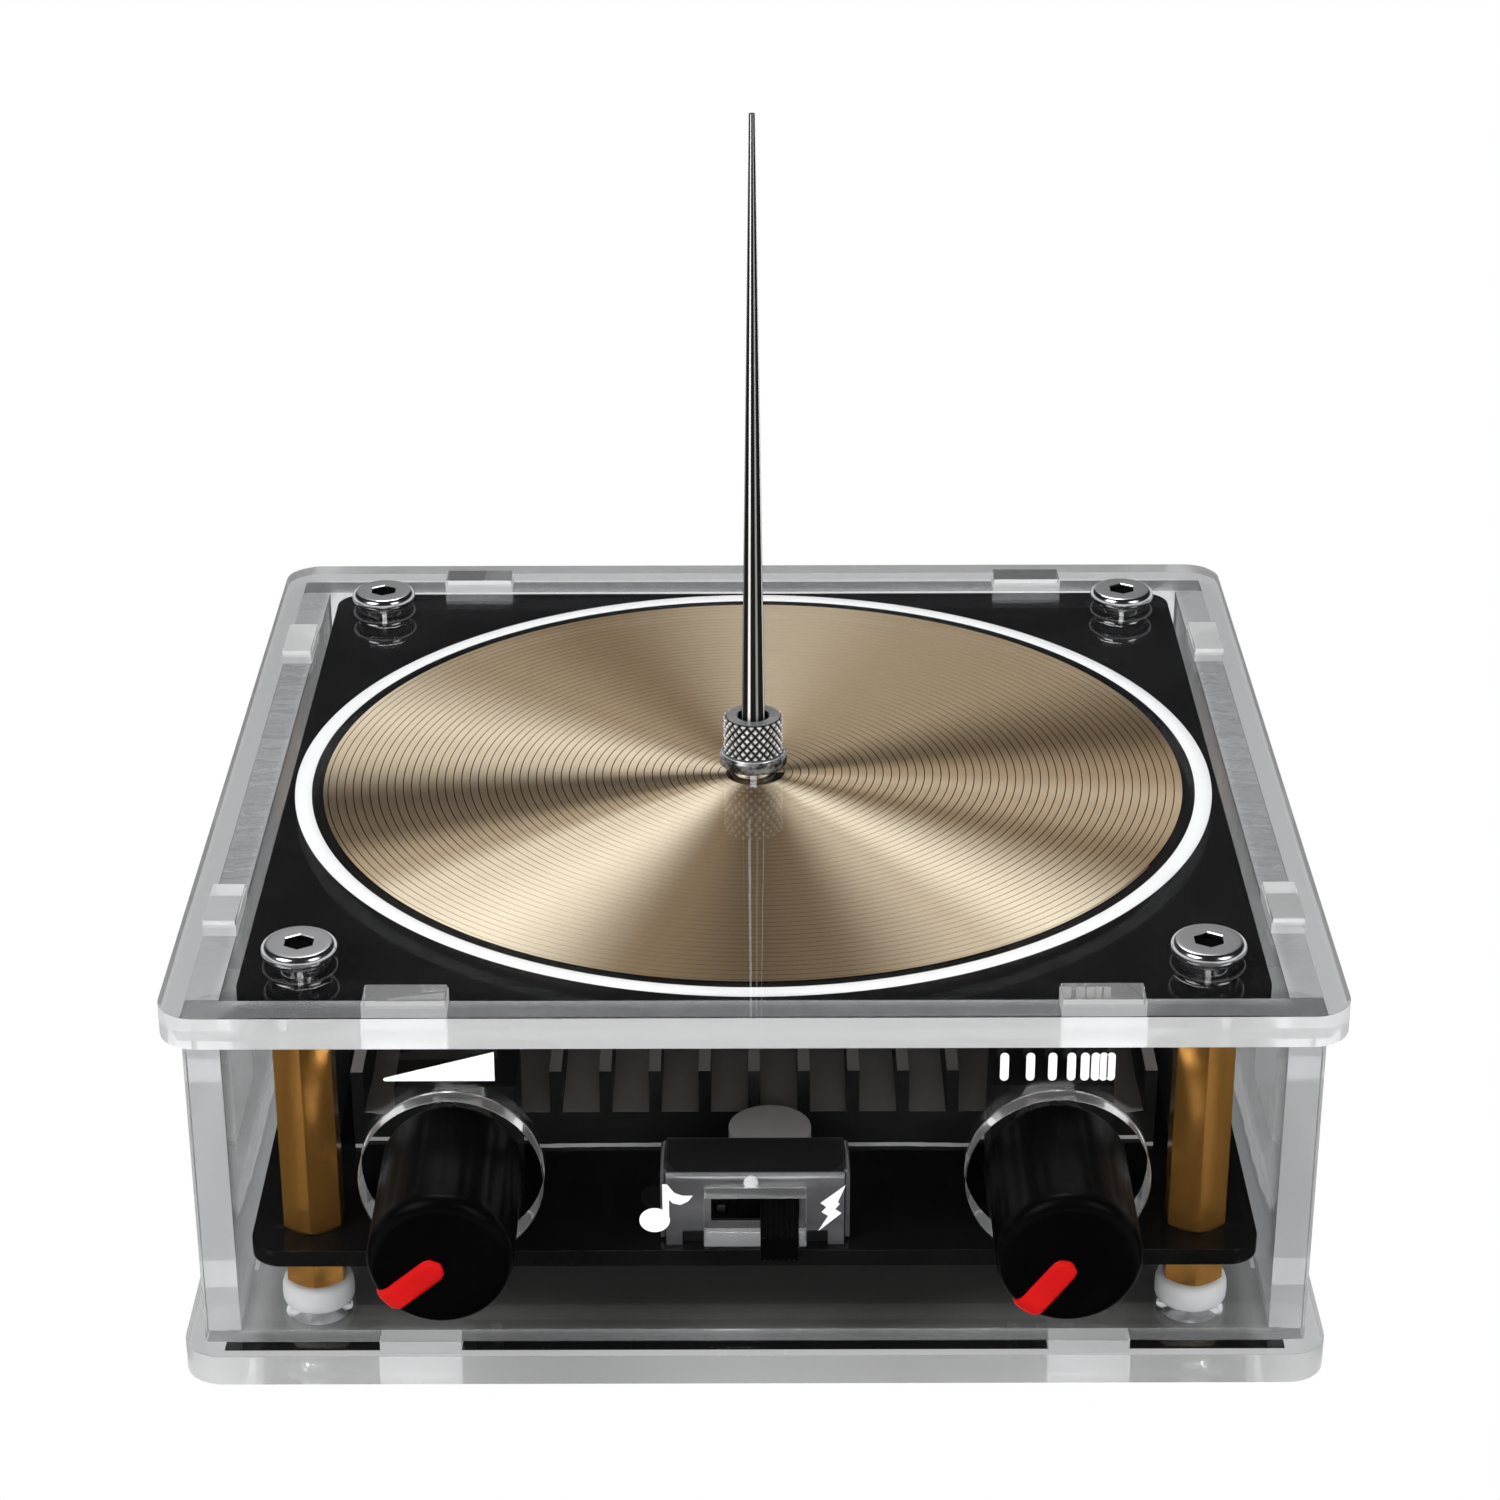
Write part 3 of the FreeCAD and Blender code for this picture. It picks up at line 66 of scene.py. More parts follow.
# each value is a number or a colour, or another node's output
def setInputs(tree, node, values):
    for key, value in values.items():
        if isinstance(value, bpy.types.NodeSocket):
            tree.links.new(value, node.inputs[key])
        else:
            node.inputs[key].default_value = value


def addMath(tree, operation, *values):
    node = addNode(tree, "Math", operation=operation)
    setInputs(tree, node, dict(enumerate(values)))
    return node.outputs["Value"]


# the X, Y and Z outputs of a place or a direction
def coordinates(tree, kind="Object"):
    place = addNode(tree, "TexCoord")
    parts = addNode(tree, "SeparateXYZ")
    tree.links.new(place.outputs[kind], parts.inputs["Vector"])
    return parts.outputs


def addNoise(tree, scale, detail=3.0, stretch=(1, 1, 1)):
    place = addNode(tree, "TexCoord")
    fit = addNode(tree, "Mapping")
    noise = addNode(tree, "TexNoise")
    setInputs(tree, fit, {"Vector": place.outputs["Object"], "Scale": stretch})
    setInputs(tree, noise, {
        "Vector": fit.outputs["Vector"], "Scale": scale, "Detail": detail, "Roughness": 0.55,
    })
    return noise.outputs["Fac"]


def remap(tree, source, low, high, fromLow=0.0, fromHigh=1.0):
    fit = addNode(tree, "MapRange")
    setInputs(tree, fit, {
        "Value": source, "From Min": fromLow, "From Max": fromHigh, "To Min": low, "To Max": high,
    })
    return fit.outputs["Result"]


# the two ends are colours, or outputs of other nodes
def mixColours(tree, factor, first, second):
    mix = addNode(tree, "Mix", data_type="RGBA")
    ends = [(*end, 1) if isinstance(end, tuple) else end for end in (first, second)]
    setInputs(tree, mix, {"Factor": factor, "A": ends[0], "B": ends[1]})
    return mix.outputs["Result"]


def mixShaders(tree, factor, first, second):
    blend = addNode(tree, "MixShader")
    setInputs(tree, blend, {"Fac": factor, 1: first, 2: second})
    return blend.outputs["Shader"]


def showShader(tree, output):
    tree.links.new(output, tree.nodes["Material Output"].inputs["Surface"])


# each stop is a position and a colour
def addRamp(tree, factor, stops, interpolation="LINEAR"):
    ramp = addNode(tree, "ValToRGB")
    ramp.color_ramp.interpolation = interpolation
    marks = ramp.color_ramp.elements
    for index, (where, colour) in enumerate(stops):
        mark = marks[index] if index < 2 else marks.new(where)
        mark.position = where
        mark.color = (*colour, 1)
    tree.links.new(factor, ramp.inputs["Fac"])
    return ramp.outputs["Color"]


# 1 on faces that look up, 0 elsewhere
def facesUp(tree):
    return remap(tree, coordinates(tree, "Normal")["Z"], 0.0, 1.0, 0.93, 0.98)


# 0 near the middle axis and 1 further out than the two distances, measured square
def farOut(tree, span):
    place = coordinates(tree)
    sizes = [addMath(tree, "ABSOLUTE", place[axis]) for axis in "XY"]
    return remap(tree, addMath(tree, "MAXIMUM", *sizes), 0.0, 1.0, span[0] * mm, span[1] * mm)


def addBump(tree, shader, height, strength, distance=bumpDepth):
    bump = addNode(tree, "Bump")
    setInputs(tree, bump, {"Height": height, "Strength": strength, "Distance": distance})
    tree.links.new(bump.outputs["Normal"], shader.inputs["Normal"])


finishSockets = {
    "metallic": "Metallic", "specular": "Specular IOR Level",
    "coat": "Coat Weight", "coatRough": "Coat Roughness",
}


# one finish: two close colours mixed by noise, roughness that wanders, and a fine bump
def makeFinish(name, look):
    mat, tree, shader = newMaterial(name)
    stretch = look.get("stretch", (1, 1, 1))
    patches = addNoise(tree, look["patchScale"], 4.0, stretch)
    spread = remap(tree, patches, 0.0, 1.0, 0.35, 0.65)
    colour = mixColours(tree, spread, look["colour"], look["second"])
    rough = remap(tree, patches, *look["rough"], 0.3, 0.7)
    # faces that look up can take their own colour and roughness; on the heat sink this colour is painted
    # light, on the switch shell painted shade
    if "topRough" in look:
        upward = facesUp(tree)
        colour = mixColours(tree, upward, colour, look["topColour"])
        faced = addNode(tree, "Mix", data_type="FLOAT")
        setInputs(tree, faced, {"Factor": upward, "A": rough, "B": look["topRough"]})
        rough = faced.outputs["Result"]
    # painted shade: below a given height the colour turns dark
    if "paintedShadeBelow" in look:
        edge = look["paintedShadeBelow"]
        above = remap(tree, coordinates(tree)["Z"], 0.0, 1.0, edge - 0.15 * mm, edge)
        colour = mixColours(tree, above, look["paintedShadeColour"], colour)
    setInputs(tree, shader, {"Base Color": colour, "Roughness": rough})
    setInputs(tree, shader, {socket: look[key] for key, socket in finishSockets.items() if key in look})
    addBump(tree, shader, addNoise(tree, look["grainScale"], 2.0, stretch), look["bump"])
    return mat


# clear cast sheet: polished faces, and laser-cut edges that carry a faint milky glow; the greyer tints on
# some faces are painted shade
def makeClearSheet(name, faceAxis, look):
    mat, tree, shader = newMaterial(name)
    facing = coordinates(tree, "Normal")
    cut = remap(tree, addMath(tree, "ABSOLUTE", facing[faceAxis]), 1.0, 0.0, 0.5, 0.98)
    faceColour = look["faceTint"][faceAxis]
    if faceAxis == "Z":
        shader.inputs["Specular IOR Level"].default_value = look["lidShine"]
        # painted shade: a greyer tint on the flat sheets' outer band
        faceColour = mixColours(tree, farOut(tree, look["rim"]), faceColour, look["rimShadeTint"])
        milky = farOut(tree, look["milkFrom"])
    else:
        milky = remap(tree, facing["Z"], 0.0, 1.0, *look["milkUpward"])
    streak = addNoise(tree, look["streakScale"], 3.0, look["streakStretch"][faceAxis])
    setInputs(tree, shader, {
        "Base Color": mixColours(tree, cut, faceColour, look["cutTint"]),
        "Roughness": addMath(tree, "MULTIPLY", remap(tree, streak, *look["cutRough"]), cut),
        "IOR": look["ior"], "Transmission Weight": 1.0,
    })
    addBump(tree, shader, streak, look["bump"])
    sides = []
    for kind in ("BsdfDiffuse", "BsdfTranslucent"):
        side = addNode(tree, kind)
        side.inputs["Color"].default_value = look["milk"]
        sides.append(side.outputs["BSDF"])
    share = addMath(tree, "MULTIPLY", addMath(tree, "MULTIPLY", cut, look["milkShare"][faceAxis]), milky)
    showShader(tree, mixShaders(tree, share, shader.outputs["BSDF"], mixShaders(tree, 0.5, *sides)))
    return mat


sheetLook = {
    "ior": 1.49,
    # painted shade: the side sheets' faces (X) take a greyer tint than the others
    "faceTint": {"X": (0.87, 0.875, 0.88), "Y": (0.975, 0.98, 0.985), "Z": (0.975, 0.98, 0.985)},
    "cutTint": (0.93, 0.935, 0.94),
    # painted shade: the flat sheets' outer band takes this greyer tint
    "rimShadeTint": (0.55, 0.555, 0.56),
    "rim": (44.4, 45.6),
    "lidShine": 0.22,
    "milkFrom": (42.6, 43.6),
    "milkUpward": (-0.8, -0.3),
    "milk": (0.91, 0.915, 0.92, 1),
    "milkShare": {"X": 0.42, "Y": 0.20, "Z": 0.62},
    "cutRough": (0.02, 0.10),
    "streakScale": 260.0,
    "streakStretch": {"X": (0.15, 1, 1), "Y": (1, 0.15, 1), "Z": (1, 1, 0.15)},
    "bump": 0.12,
}
clearX = makeClearSheet("clear_sheet_x", "X", sheetLook)
clearY = makeClearSheet("clear_sheet_y", "Y", sheetLook)
clearZ = makeClearSheet("clear_sheet_z", "Z", sheetLook)

chrome = makeFinish("chrome_screw", {
    "colour": (0.50, 0.50, 0.51), "second": (0.62, 0.62, 0.63), "metallic": 1.0,
    "rough": (0.12, 0.20), "topRough": 0.45, "topColour": (0.28, 0.28, 0.285),
    "patchScale": 420.0, "grainScale": 5200.0, "bump": 0.03,
    # painted shade: what lies below the top plate's upper face turns near-black
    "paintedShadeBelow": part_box("top_plate")[1].z, "paintedShadeColour": (0.012, 0.012, 0.012),
})
zincSteel = makeFinish("steel_screw", {
    "colour": (0.42, 0.43, 0.44), "second": (0.55, 0.56, 0.57), "metallic": 1.0,
    "rough": (0.25, 0.42), "patchScale": 500.0, "grainScale": 4800.0, "bump": 0.08,
})
brass = makeFinish("brass", {
    "colour": (0.45, 0.205, 0.040), "second": (0.56, 0.268, 0.058), "metallic": 0.82,
    "rough": (0.16, 0.24), "patchScale": 240.0, "stretch": (1, 1, 0.12),
    "grainScale": 2600.0, "bump": 0.02,
})
blackBoard = makeFinish("black_board", {
    "colour": (0.0035, 0.0035, 0.0035), "second": (0.006, 0.006, 0.006),
    "rough": (0.12, 0.18), "patchScale": 90.0, "grainScale": 2400.0, "bump": 0.02,
    "specular": 0.14,
})
copper = makeFinish("copper_track", {
    "colour": (0.55, 0.21, 0.09), "second": (0.68, 0.30, 0.14), "metallic": 1.0,
    "rough": (0.28, 0.42), "patchScale": 300.0, "grainScale": 3600.0, "bump": 0.1,
})
# painted light: the channel floors and other faces that look up are light grey on a black finish
anodised = makeFinish("black_anodised", {
    "colour": (0.004, 0.0039, 0.0038), "second": (0.008, 0.0078, 0.0076), "metallic": 0.2,
    "rough": (0.42, 0.55), "topRough": 0.5, "topColour": (0.46, 0.45, 0.43),
    "patchScale": 260.0, "stretch": (1, 0.06, 1), "grainScale": 2600.0, "bump": 0.18,
})
padGrey = makeFinish("thermal_pad", {
    "colour": (0.56, 0.56, 0.57), "second": (0.66, 0.66, 0.67),
    "rough": (0.6, 0.8), "patchScale": 500.0, "grainScale": 3000.0, "bump": 0.3,
})
housing = makeFinish("housing_plastic", {
    "colour": (0.004, 0.004, 0.0045), "second": (0.008, 0.008, 0.0085),
    "rough": (0.38, 0.52), "patchScale": 320.0, "grainScale": 5200.0, "bump": 0.22, "specular": 0.3,
})
shaftMetal = makeFinish("shaft_metal", {
    "colour": (0.52, 0.52, 0.53), "second": (0.66, 0.66, 0.67), "metallic": 1.0,
    "rough": (0.24, 0.38), "patchScale": 300.0, "stretch": (1, 0.1, 1),
    "grainScale": 3800.0, "bump": 0.08,
})
bushingMetal = makeFinish("bushing_metal", {
    "colour": (0.50, 0.49, 0.47), "second": (0.62, 0.61, 0.59), "metallic": 1.0,
    "rough": (0.22, 0.36), "patchScale": 380.0, "grainScale": 4200.0, "bump": 0.08,
})
tinned = makeFinish("tinned_pin", {
    "colour": (0.56, 0.56, 0.57), "second": (0.70, 0.70, 0.71), "metallic": 1.0,
    "rough": (0.22, 0.42), "patchScale": 900.0, "grainScale": 5200.0, "bump": 0.15,
})
# painted shade: the shell's faces that look up are nearly black
switchSteel = makeFinish("switch_steel", {
    "colour": (0.16, 0.16, 0.165), "second": (0.23, 0.23, 0.235), "metallic": 0.65,
    "rough": (0.26, 0.38), "topRough": 0.32, "topColour": (0.03, 0.03, 0.032),
    "patchScale": 420.0, "stretch": (0.15, 1, 1), "grainScale": 3600.0, "bump": 0.06,
})
aluminium = makeFinish("aluminium_can", {
    "colour": (0.78, 0.78, 0.78), "second": (0.88, 0.88, 0.88), "metallic": 0.1,
    "rough": (0.42, 0.55), "patchScale": 300.0, "grainScale": 3600.0, "bump": 0.12,
})
sleeve = makeFinish("capacitor_sleeve", {
    "colour": (0.010, 0.012, 0.020), "second": (0.016, 0.019, 0.030),
    "rough": (0.26, 0.36), "patchScale": 160.0, "grainScale": 1800.0, "bump": 0.12,
    "coat": 0.3, "coatRough": 0.08,
})
filmBox = makeFinish("film_box", {
    "colour": (0.13, 0.13, 0.13), "second": (0.17, 0.17, 0.17),
    "rough": (0.30, 0.42), "patchScale": 200.0, "grainScale": 2600.0, "bump": 0.15,
})
chipBlack = makeFinish("package_black", {
    "colour": (0.012, 0.012, 0.013), "second": (0.020, 0.020, 0.021),
    "rough": (0.5, 0.65), "patchScale": 600.0, "grainScale": 6000.0, "bump": 0.3,
})
# near-black finish for the plugs in the screw sockets, which are painted shade
paintedSocketShade = makeFinish("socket_shade", {
    "colour": (0.0010, 0.0010, 0.0010), "second": (0.0016, 0.0016, 0.0016), "specular": 0.02,
    "rough": (0.7, 0.8), "patchScale": 600.0, "grainScale": 5200.0, "bump": 0.05,
})
whiteInk = makeFinish("white_ink", {
    "colour": (0.985, 0.985, 0.985), "second": (1.0, 1.0, 1.0),
    "rough": (0.4, 0.55), "patchScale": 300.0, "grainScale": 3600.0, "bump": 0.05,
})
blackPlastic = makeFinish("black_plastic", {
    "colour": (0.0012, 0.0011, 0.0012), "second": (0.0018, 0.0017, 0.0018),
    "rough": (0.30, 0.34), "patchScale": 260.0, "grainScale": 5200.0, "bump": 0.02, "specular": 0.03,
})
redPlastic = makeFinish("red_plastic", {
    "colour": (0.48, 0.0005, 0.0007), "second": (0.55, 0.0007, 0.0010),
    "rough": (0.34, 0.42), "patchScale": 260.0, "grainScale": 4200.0, "bump": 0.08, "specular": 0.16,
})
print("materials made")


# drawn steel: dark, with light streaks along it painted in as highlights, the same in each quarter turn;
# a streak's stop is its share of the quarter and its brightness
needleLook = {
    "dark": (0.012, 0.012, 0.012), "light": (0.97, 0.97, 0.97), "metallic": 0.3, "specular": 0.1,
    "rough": (0.16, 0.26), "grainScale": 700.0, "stretch": (1, 1, 0.03), "bump": 0.04,
    "paintedStreaks": (
        (0.00, 0), (0.165, 0), (0.215, 1), (0.315, 1), (0.365, 0), (0.63, 0),
        (0.68, 0.34), (0.76, 0.34), (0.81, 0), (1.0, 0),
    ),
}


def makeNeedleSteel():
    look = needleLook
    mat, tree, shader = newMaterial("needle_steel")
    facing = coordinates(tree, "Normal")
    turn = addMath(tree, "ADD", addMath(tree, "ARCTAN2", facing["Y"], facing["X"]), math.pi * 1.25)
    quarter = math.pi * 0.5
    share = remap(tree, addMath(tree, "WRAP", turn, quarter, 0.0), 0.0, 1.0, 0.0, quarter)
    stops = []
    for where, level in look["paintedStreaks"]:
        stops.append((where, [d + (l - d) * level for d, l in zip(look["dark"], look["light"])]))
    drawn = addNoise(tree, look["grainScale"], 2.0, look["stretch"])
    setInputs(tree, shader, {
        "Base Color": addRamp(tree, share, stops), "Roughness": remap(tree, drawn, *look["rough"]),
        "Metallic": look["metallic"], "Specular IOR Level": look["specular"],
    })
    addBump(tree, shader, drawn, look["bump"], bumpDepth / 2)
    return mat


needleSteel = makeNeedleSteel()

# CAD nodes that stay, each with its finish and the width of its softened edges in mm
dressed = {
    "bottom_plate": (clearZ, 0.14), "top_plate": (clearZ, 0.14),
    "front_panel": (clearY, 0.12), "back_panel": (clearY, 0.12),
    "left_panel": (clearX, 0.12), "right_panel": (clearX, 0.12),
    "bottom_screws": (zincSteel, 0.1),
    "heat_sink_screws": (zincSteel, 0.1),
    "long_standoffs": (brass, 0.10), "short_standoffs": (brass, 0.10),
    "main_board": (blackBoard, 0.05), "coil_board": (blackBoard, 0.05),
    "primary_coil": (copper, 0), "terminal_post": (brass, 0.06),
    "discharge_needle": (needleSteel, 0),
    "heat_sink": (anodised, 0.10), "thermal_pad": (padGrey, 0.03),
    "power_pot_body": (housing, 0.25), "frequency_pot_body": (housing, 0.25),
    "power_pot_bushing": (bushingMetal, 0.1), "frequency_pot_bushing": (bushingMetal, 0.1),
    "power_pot_shaft": (shaftMetal, 0.15), "frequency_pot_shaft": (shaftMetal, 0.15),
    "power_pot_pins": (tinned, 0.08), "frequency_pot_pins": (tinned, 0.08),
    "switch_base": (housing, 0.1), "switch_pins": (tinned, 0.08),
    "dc_socket": (housing, 0.25), "dc_centre_pin": (tinned, 0.1),
    "audio_socket": (housing, 0.2),
    "bulk_capacitor_bungs": (housing, 0.1),
    "front_capacitor": (aluminium, 0.3), "front_capacitor_base": (housing, 0.1),
    "film_capacitors": (filmBox, 0.35),
    "power_transistors": (chipBlack, 0.1), "driver_chips": (chipBlack, 0.1),
}


def dressNode(name, mat, softening):
    obj = nodes[name]
    for slot in obj.material_slots:
        slot.material = mat
    if softening == 0:
        return
    weld = obj.modifiers.new("weld", "WELD")
    weld.merge_threshold = 0.002 * mm
    soften = obj.modifiers.new("soften", "BEVEL")
    soften.width = softening * mm
    soften.segments = 2
    soften.limit_method = "ANGLE"
    soften.angle_limit = math.radians(35)
    soften.use_clamp_overlap = True
    shade = obj.modifiers.new("shade", "WEIGHTED_NORMAL")
    shade.keep_sharp = False


for name, (mat, softening) in dressed.items():
    dressNode(name, mat, softening)

# light passes the clear sheet on its way in
for name in ("bottom_plate", "top_plate", "front_panel", "back_panel", "left_panel", "right_panel"):
    nodes[name].visible_shadow = False
    nodes[name].visible_diffuse = False
print("CAD nodes dressed")


# mesh helpers

def finishMesh(name, bm, mat, body, replaced=(), smooth=True):
    bmesh.ops.remove_doubles(bm, verts=bm.verts, dist=0.0005 * mm)
    bmesh.ops.recalc_face_normals(bm, faces=bm.faces)
    mesh = bpy.data.meshes.new(name)
    bm.to_mesh(mesh)
    bm.free()
    obj = bpy.data.objects.new(name, mesh)
    bpy.context.scene.collection.objects.link(obj)
    mesh.materials.append(mat)
    for face in mesh.polygons:
        face.use_smooth = smooth
    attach(obj, body)
    if replaced:
        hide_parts(*replaced)
    return obj


# joins rows of corners into a skin; closed rows go round, and capped ends make it a solid
def skinRows(bm, rows, closed=True, capped=False):
    count = len(rows[0])
    for first, second in zip(rows, rows[1:]):
        for step in range(count if closed else count - 1):
            after = (step + 1) % count
            bm.faces.new((first[step], first[after], second[after], second[step]))
    if capped:
        bm.faces.new(rows[0])
        bm.faces.new(rows[-1])


def splitEdges(obj, degrees):
    split = obj.modifiers.new("edges", "EDGE_SPLIT")
    split.split_angle = math.radians(degrees)


# turns a profile of (radius, height) pairs about the Z axis; shape(radius, angle, height) bends it
def turnProfile(bm, profile, steps, place, shape=None, axis="Z"):
    rings = []
    for radius, height in profile:
        ring = []
        for step in range(steps):
            angle = 2 * math.pi * step / steps
            r = shape(radius, angle, height) if shape else radius
            local = Vector((r * math.cos(angle), r * math.sin(angle), height))
            if axis == "Y":
                local = Vector((local.x, local.z, local.y))
            ring.append(bm.verts.new(Vector(place) + local))
        rings.append(ring)
    skinRows(bm, rings)
    return rings


def capRing(bm, ring):
    centre = sum((v.co for v in ring), Vector()) / len(ring)
    middle = bm.verts.new(centre)
    for step, vert in enumerate(ring):
        bm.faces.new((vert, ring[(step + 1) % len(ring)], middle))


# the same turned and closed piece at each place, from a profile in mm
def turnSet(bm, profile, steps, places, shape=None):
    scaled = [(radius * mm, height * mm) for radius, height in profile]
    for place in places:
        rings = turnProfile(bm, scaled, steps, place, shape)
        capRing(bm, rings[0])
        capRing(bm, rings[-1])


def arcPoints(centre, radius, start, end, steps):
    points = []
    for step in range(steps + 1):
        angle = math.radians(start + (end - start) * step / steps)
        points.append((centre[0] + radius * math.cos(angle), centre[1] + radius * math.sin(angle)))
    return points


# the four places of a corner piece, from its box and the radius of one of the four
def cornerPlaces(node, radius):
    low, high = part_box(node)
    sides = [(low.x + radius, high.x - radius), (low.y + radius, high.y - radius)]
    return [(x, y, low.z) for x in sides[0] for y in sides[1]]


# top screws: threaded shank, low collar, and a thick disc head with a hexagon socket
topScrew = {
    "head": 3.3, "headHeight": 1.2, "rim": 0.66, "footRim": 0.42, "collar": 2.7, "collarHeight": 0.4,
    "shank": 1.5, "threadFrom": 0.5, "threadDepth": 0.2, "threadPitch": 0.5, "socket": 1.2,
    "socketDepth": 1.1, "socketShade": 0.5, "steps": 96, "sharp": 32,
}


def buildTopScrews():
    low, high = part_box("top_screws")
    t = topScrew
    tall = (high.z - low.z) / mm
    under = tall - t["headHeight"]
    base = under - t["collarHeight"]
    profile = [(t["shank"] - 0.45, 0.0), (t["shank"] - 0.1, 0.35)]
    turns = int((base - 0.8) / t["threadPitch"])
    for turn in range(turns):
        z = t["threadFrom"] + turn * t["threadPitch"]
        profile += [(t["shank"] - t["threadDepth"], z), (t["shank"], z + t["threadPitch"] * 0.5)]
    profile += [(t["shank"] - 0.05, base), (t["collar"] - 0.08, base), (t["collar"], base + 0.08)]
    profile += [(t["collar"], under - 0.06), (t["collar"] - 0.12, under)]
    profile += arcPoints((t["head"] - t["footRim"], under + t["footRim"]), t["footRim"], -90, 0, 5)
    profile += arcPoints((t["head"] - t["rim"], tall - t["rim"]), t["rim"], 0, 90, 9)
    profile += [(2.2, tall), (1.52, tall)]
    socket = t["socket"]
    floor = tall - t["socketDepth"]
    hexed = [(socket + 0.07, tall), (socket, tall - 0.09), (socket, floor), (socket * 0.3, floor - 0.25)]

    def hexagon(radius, angle, height):
        if height < base * mm or radius > (socket + 0.08) * mm or radius < socket * 0.5 * mm:
            return radius
        return radius / math.cos((angle + math.pi / 6) % (math.pi / 3) - math.pi / 6)

    places = cornerPlaces("top_screws", t["head"] * mm)
    bm = bmesh.new()
    turnSet(bm, profile + hexed, t["steps"], places, hexagon)
    screws = finishMesh("topScrewSet", bm, chrome, "case", ("top_screws",))
    splitEdges(screws, t["sharp"])
    # a near-black plug in the lower part of each socket is painted shade
    wide = (socket - 0.03) / math.cos(math.radians(30))
    bm = bmesh.new()
    turnSet(bm, [(wide, floor + 0.05), (wide, tall - t["socketShade"])], 6, places)
    finishMesh("topScrewSocketShadePlugs", bm, paintedSocketShade, "case", (), False)


buildTopScrews()
print("top screws turned")


# flat coil: one fine gold track that winds out from the terminal; its turned-metal sheen is partly real
# anisotropic gloss and partly painted into the colour as light and dark fans
coil = {
    "inner": 2.2 * mm, "outer": 40.95 * mm, "pitch": 0.79 * mm, "gap": 0.065 * mm,
    "proud": 0.04 * mm, "round": 0.03 * mm, "narrowest": 0.1 * mm, "stepsPerTurn": 150,
}
# painted sheen: light and dark fans laid into the gold's colour, in degrees from +X, and brightness
paintedCoilSheen = (
    (0, 0.56), (13, 0.36), (39, 0.59), (62, 0.59), (86, 0.68), (116, 0.48), (137, 0.58), (161, 0.77),
    (171, 0.72), (189, 0.29), (199, 0.34), (210, 0.60), (219, 0.79), (233, 0.86), (256, 0.47),
    (270, 0.36), (279, 0.40), (300, 0.70), (310, 0.83), (333, 0.46), (345, 0.60), (351, 0.64), (360, 0.56),
)
# brightness on screen, and the gold's colour for it
goldTones = (
    (0.28, Vector((0.046, 0.027, 0.010))), (0.54, Vector((0.27, 0.184, 0.096))),
    (0.863, Vector((0.88, 0.76, 0.57))),
)


def goldColour(level):
    lower, upper = goldTones[:2] if level < goldTones[1][0] else goldTones[1:]
    light = [tone ** 2.2 for tone in (lower[0], level, upper[0])]
    return lower[1].lerp(upper[1], max(0.0, (light[1] - light[0]) / (light[2] - light[0])))


def makeGoldTrack():
    mat, tree, shader = newMaterial("gold_track")
    place = coordinates(tree)
    whole = 2 * math.pi
    turn = addMath(tree, "WRAP", addMath(tree, "ARCTAN2", place["Y"], place["X"]), whole, 0.0)
    share = remap(tree, turn, 0.0, 1.0, 0.0, whole)
    # the painted sheen fans become the base colour's ramp
    stops = [(degrees / 360, goldColour(level)) for degrees, level in paintedCoilSheen]
    tangent = addNode(tree, "Tangent", direction_type="RADIAL", axis="Z")
    setInputs(tree, shader, {
        "Base Color": addRamp(tree, share, stops, "EASE"), "Metallic": 0.16, "Anisotropic": 0.6,
        "Specular IOR Level": 0.12, "Tangent": tangent.outputs["Tangent"],
        "Roughness": remap(tree, addNoise(tree, 60.0), 0.36, 0.5),
    })
    addBump(tree, shader, addNoise(tree, 2400.0, 2.0), 0.06, bumpDepth / 2)
    return mat


def buildCoil():
    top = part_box("coil_board")[1].z
    turns = (coil["outer"] - coil["inner"]) / coil["pitch"]
    width = coil["pitch"] - coil["gap"]
    steps = int(turns * coil["stepsPerTurn"])
    bm = bmesh.new()
    rows = []
    for step in range(steps + 1):
        angle = 2 * math.pi * step / coil["stepsPerTurn"]
        inside = coil["inner"] + coil["pitch"] * step / coil["stepsPerTurn"]
        outside = min(inside + width, coil["outer"])
        if outside - inside < coil["narrowest"]:
            break
        soft = min(coil["round"], (outside - inside) / 3)
        section = (
            (inside, 0.0), (inside + soft, coil["proud"]),
            (outside - soft, coil["proud"]), (outside, 0.0),
        )
        across = (math.cos(angle), math.sin(angle))
        rows.append([bm.verts.new((r * across[0], r * across[1], top + up)) for r, up in section])
    skinRows(bm, rows, capped=True)
    finishMesh("secondaryCoilTrack", bm, makeGoldTrack(), "case", ("secondary_coil",), False)


buildCoil()
print("coil wound")


# printed ring round the coil
ringPrint = {"inner": 42.0 * mm, "outer": 43.6 * mm, "thick": 0.03 * mm, "steps": 240}


def buildRing():
    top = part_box("coil_board")[1].z
    inner, outer, thick = ringPrint["inner"], ringPrint["outer"], ringPrint["thick"]
    profile = ((inner, 0), (inner + thick, thick), (outer - thick, thick), (outer, 0), (inner, 0))
    bm = bmesh.new()
    turnProfile(bm, profile, ringPrint["steps"], (0, 0, top))
    finishMesh("coilRingPrint", bm, whiteInk, "case")


buildRing()


# marks printed on the front panel, in mm from the panel's middle and from the floor
markThick = 0.04 * mm


def buildMark(name, outline):
    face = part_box("front_panel")[0].y
    bm = bmesh.new()
    rows = []
    for y in (face, face - markThick):
        rows.append([bm.verts.new((x * mm, y, z * mm)) for x, z in outline])
    skinRows(bm, rows, capped=True)
    finishMesh(name, bm, whiteInk, "case", (), False)


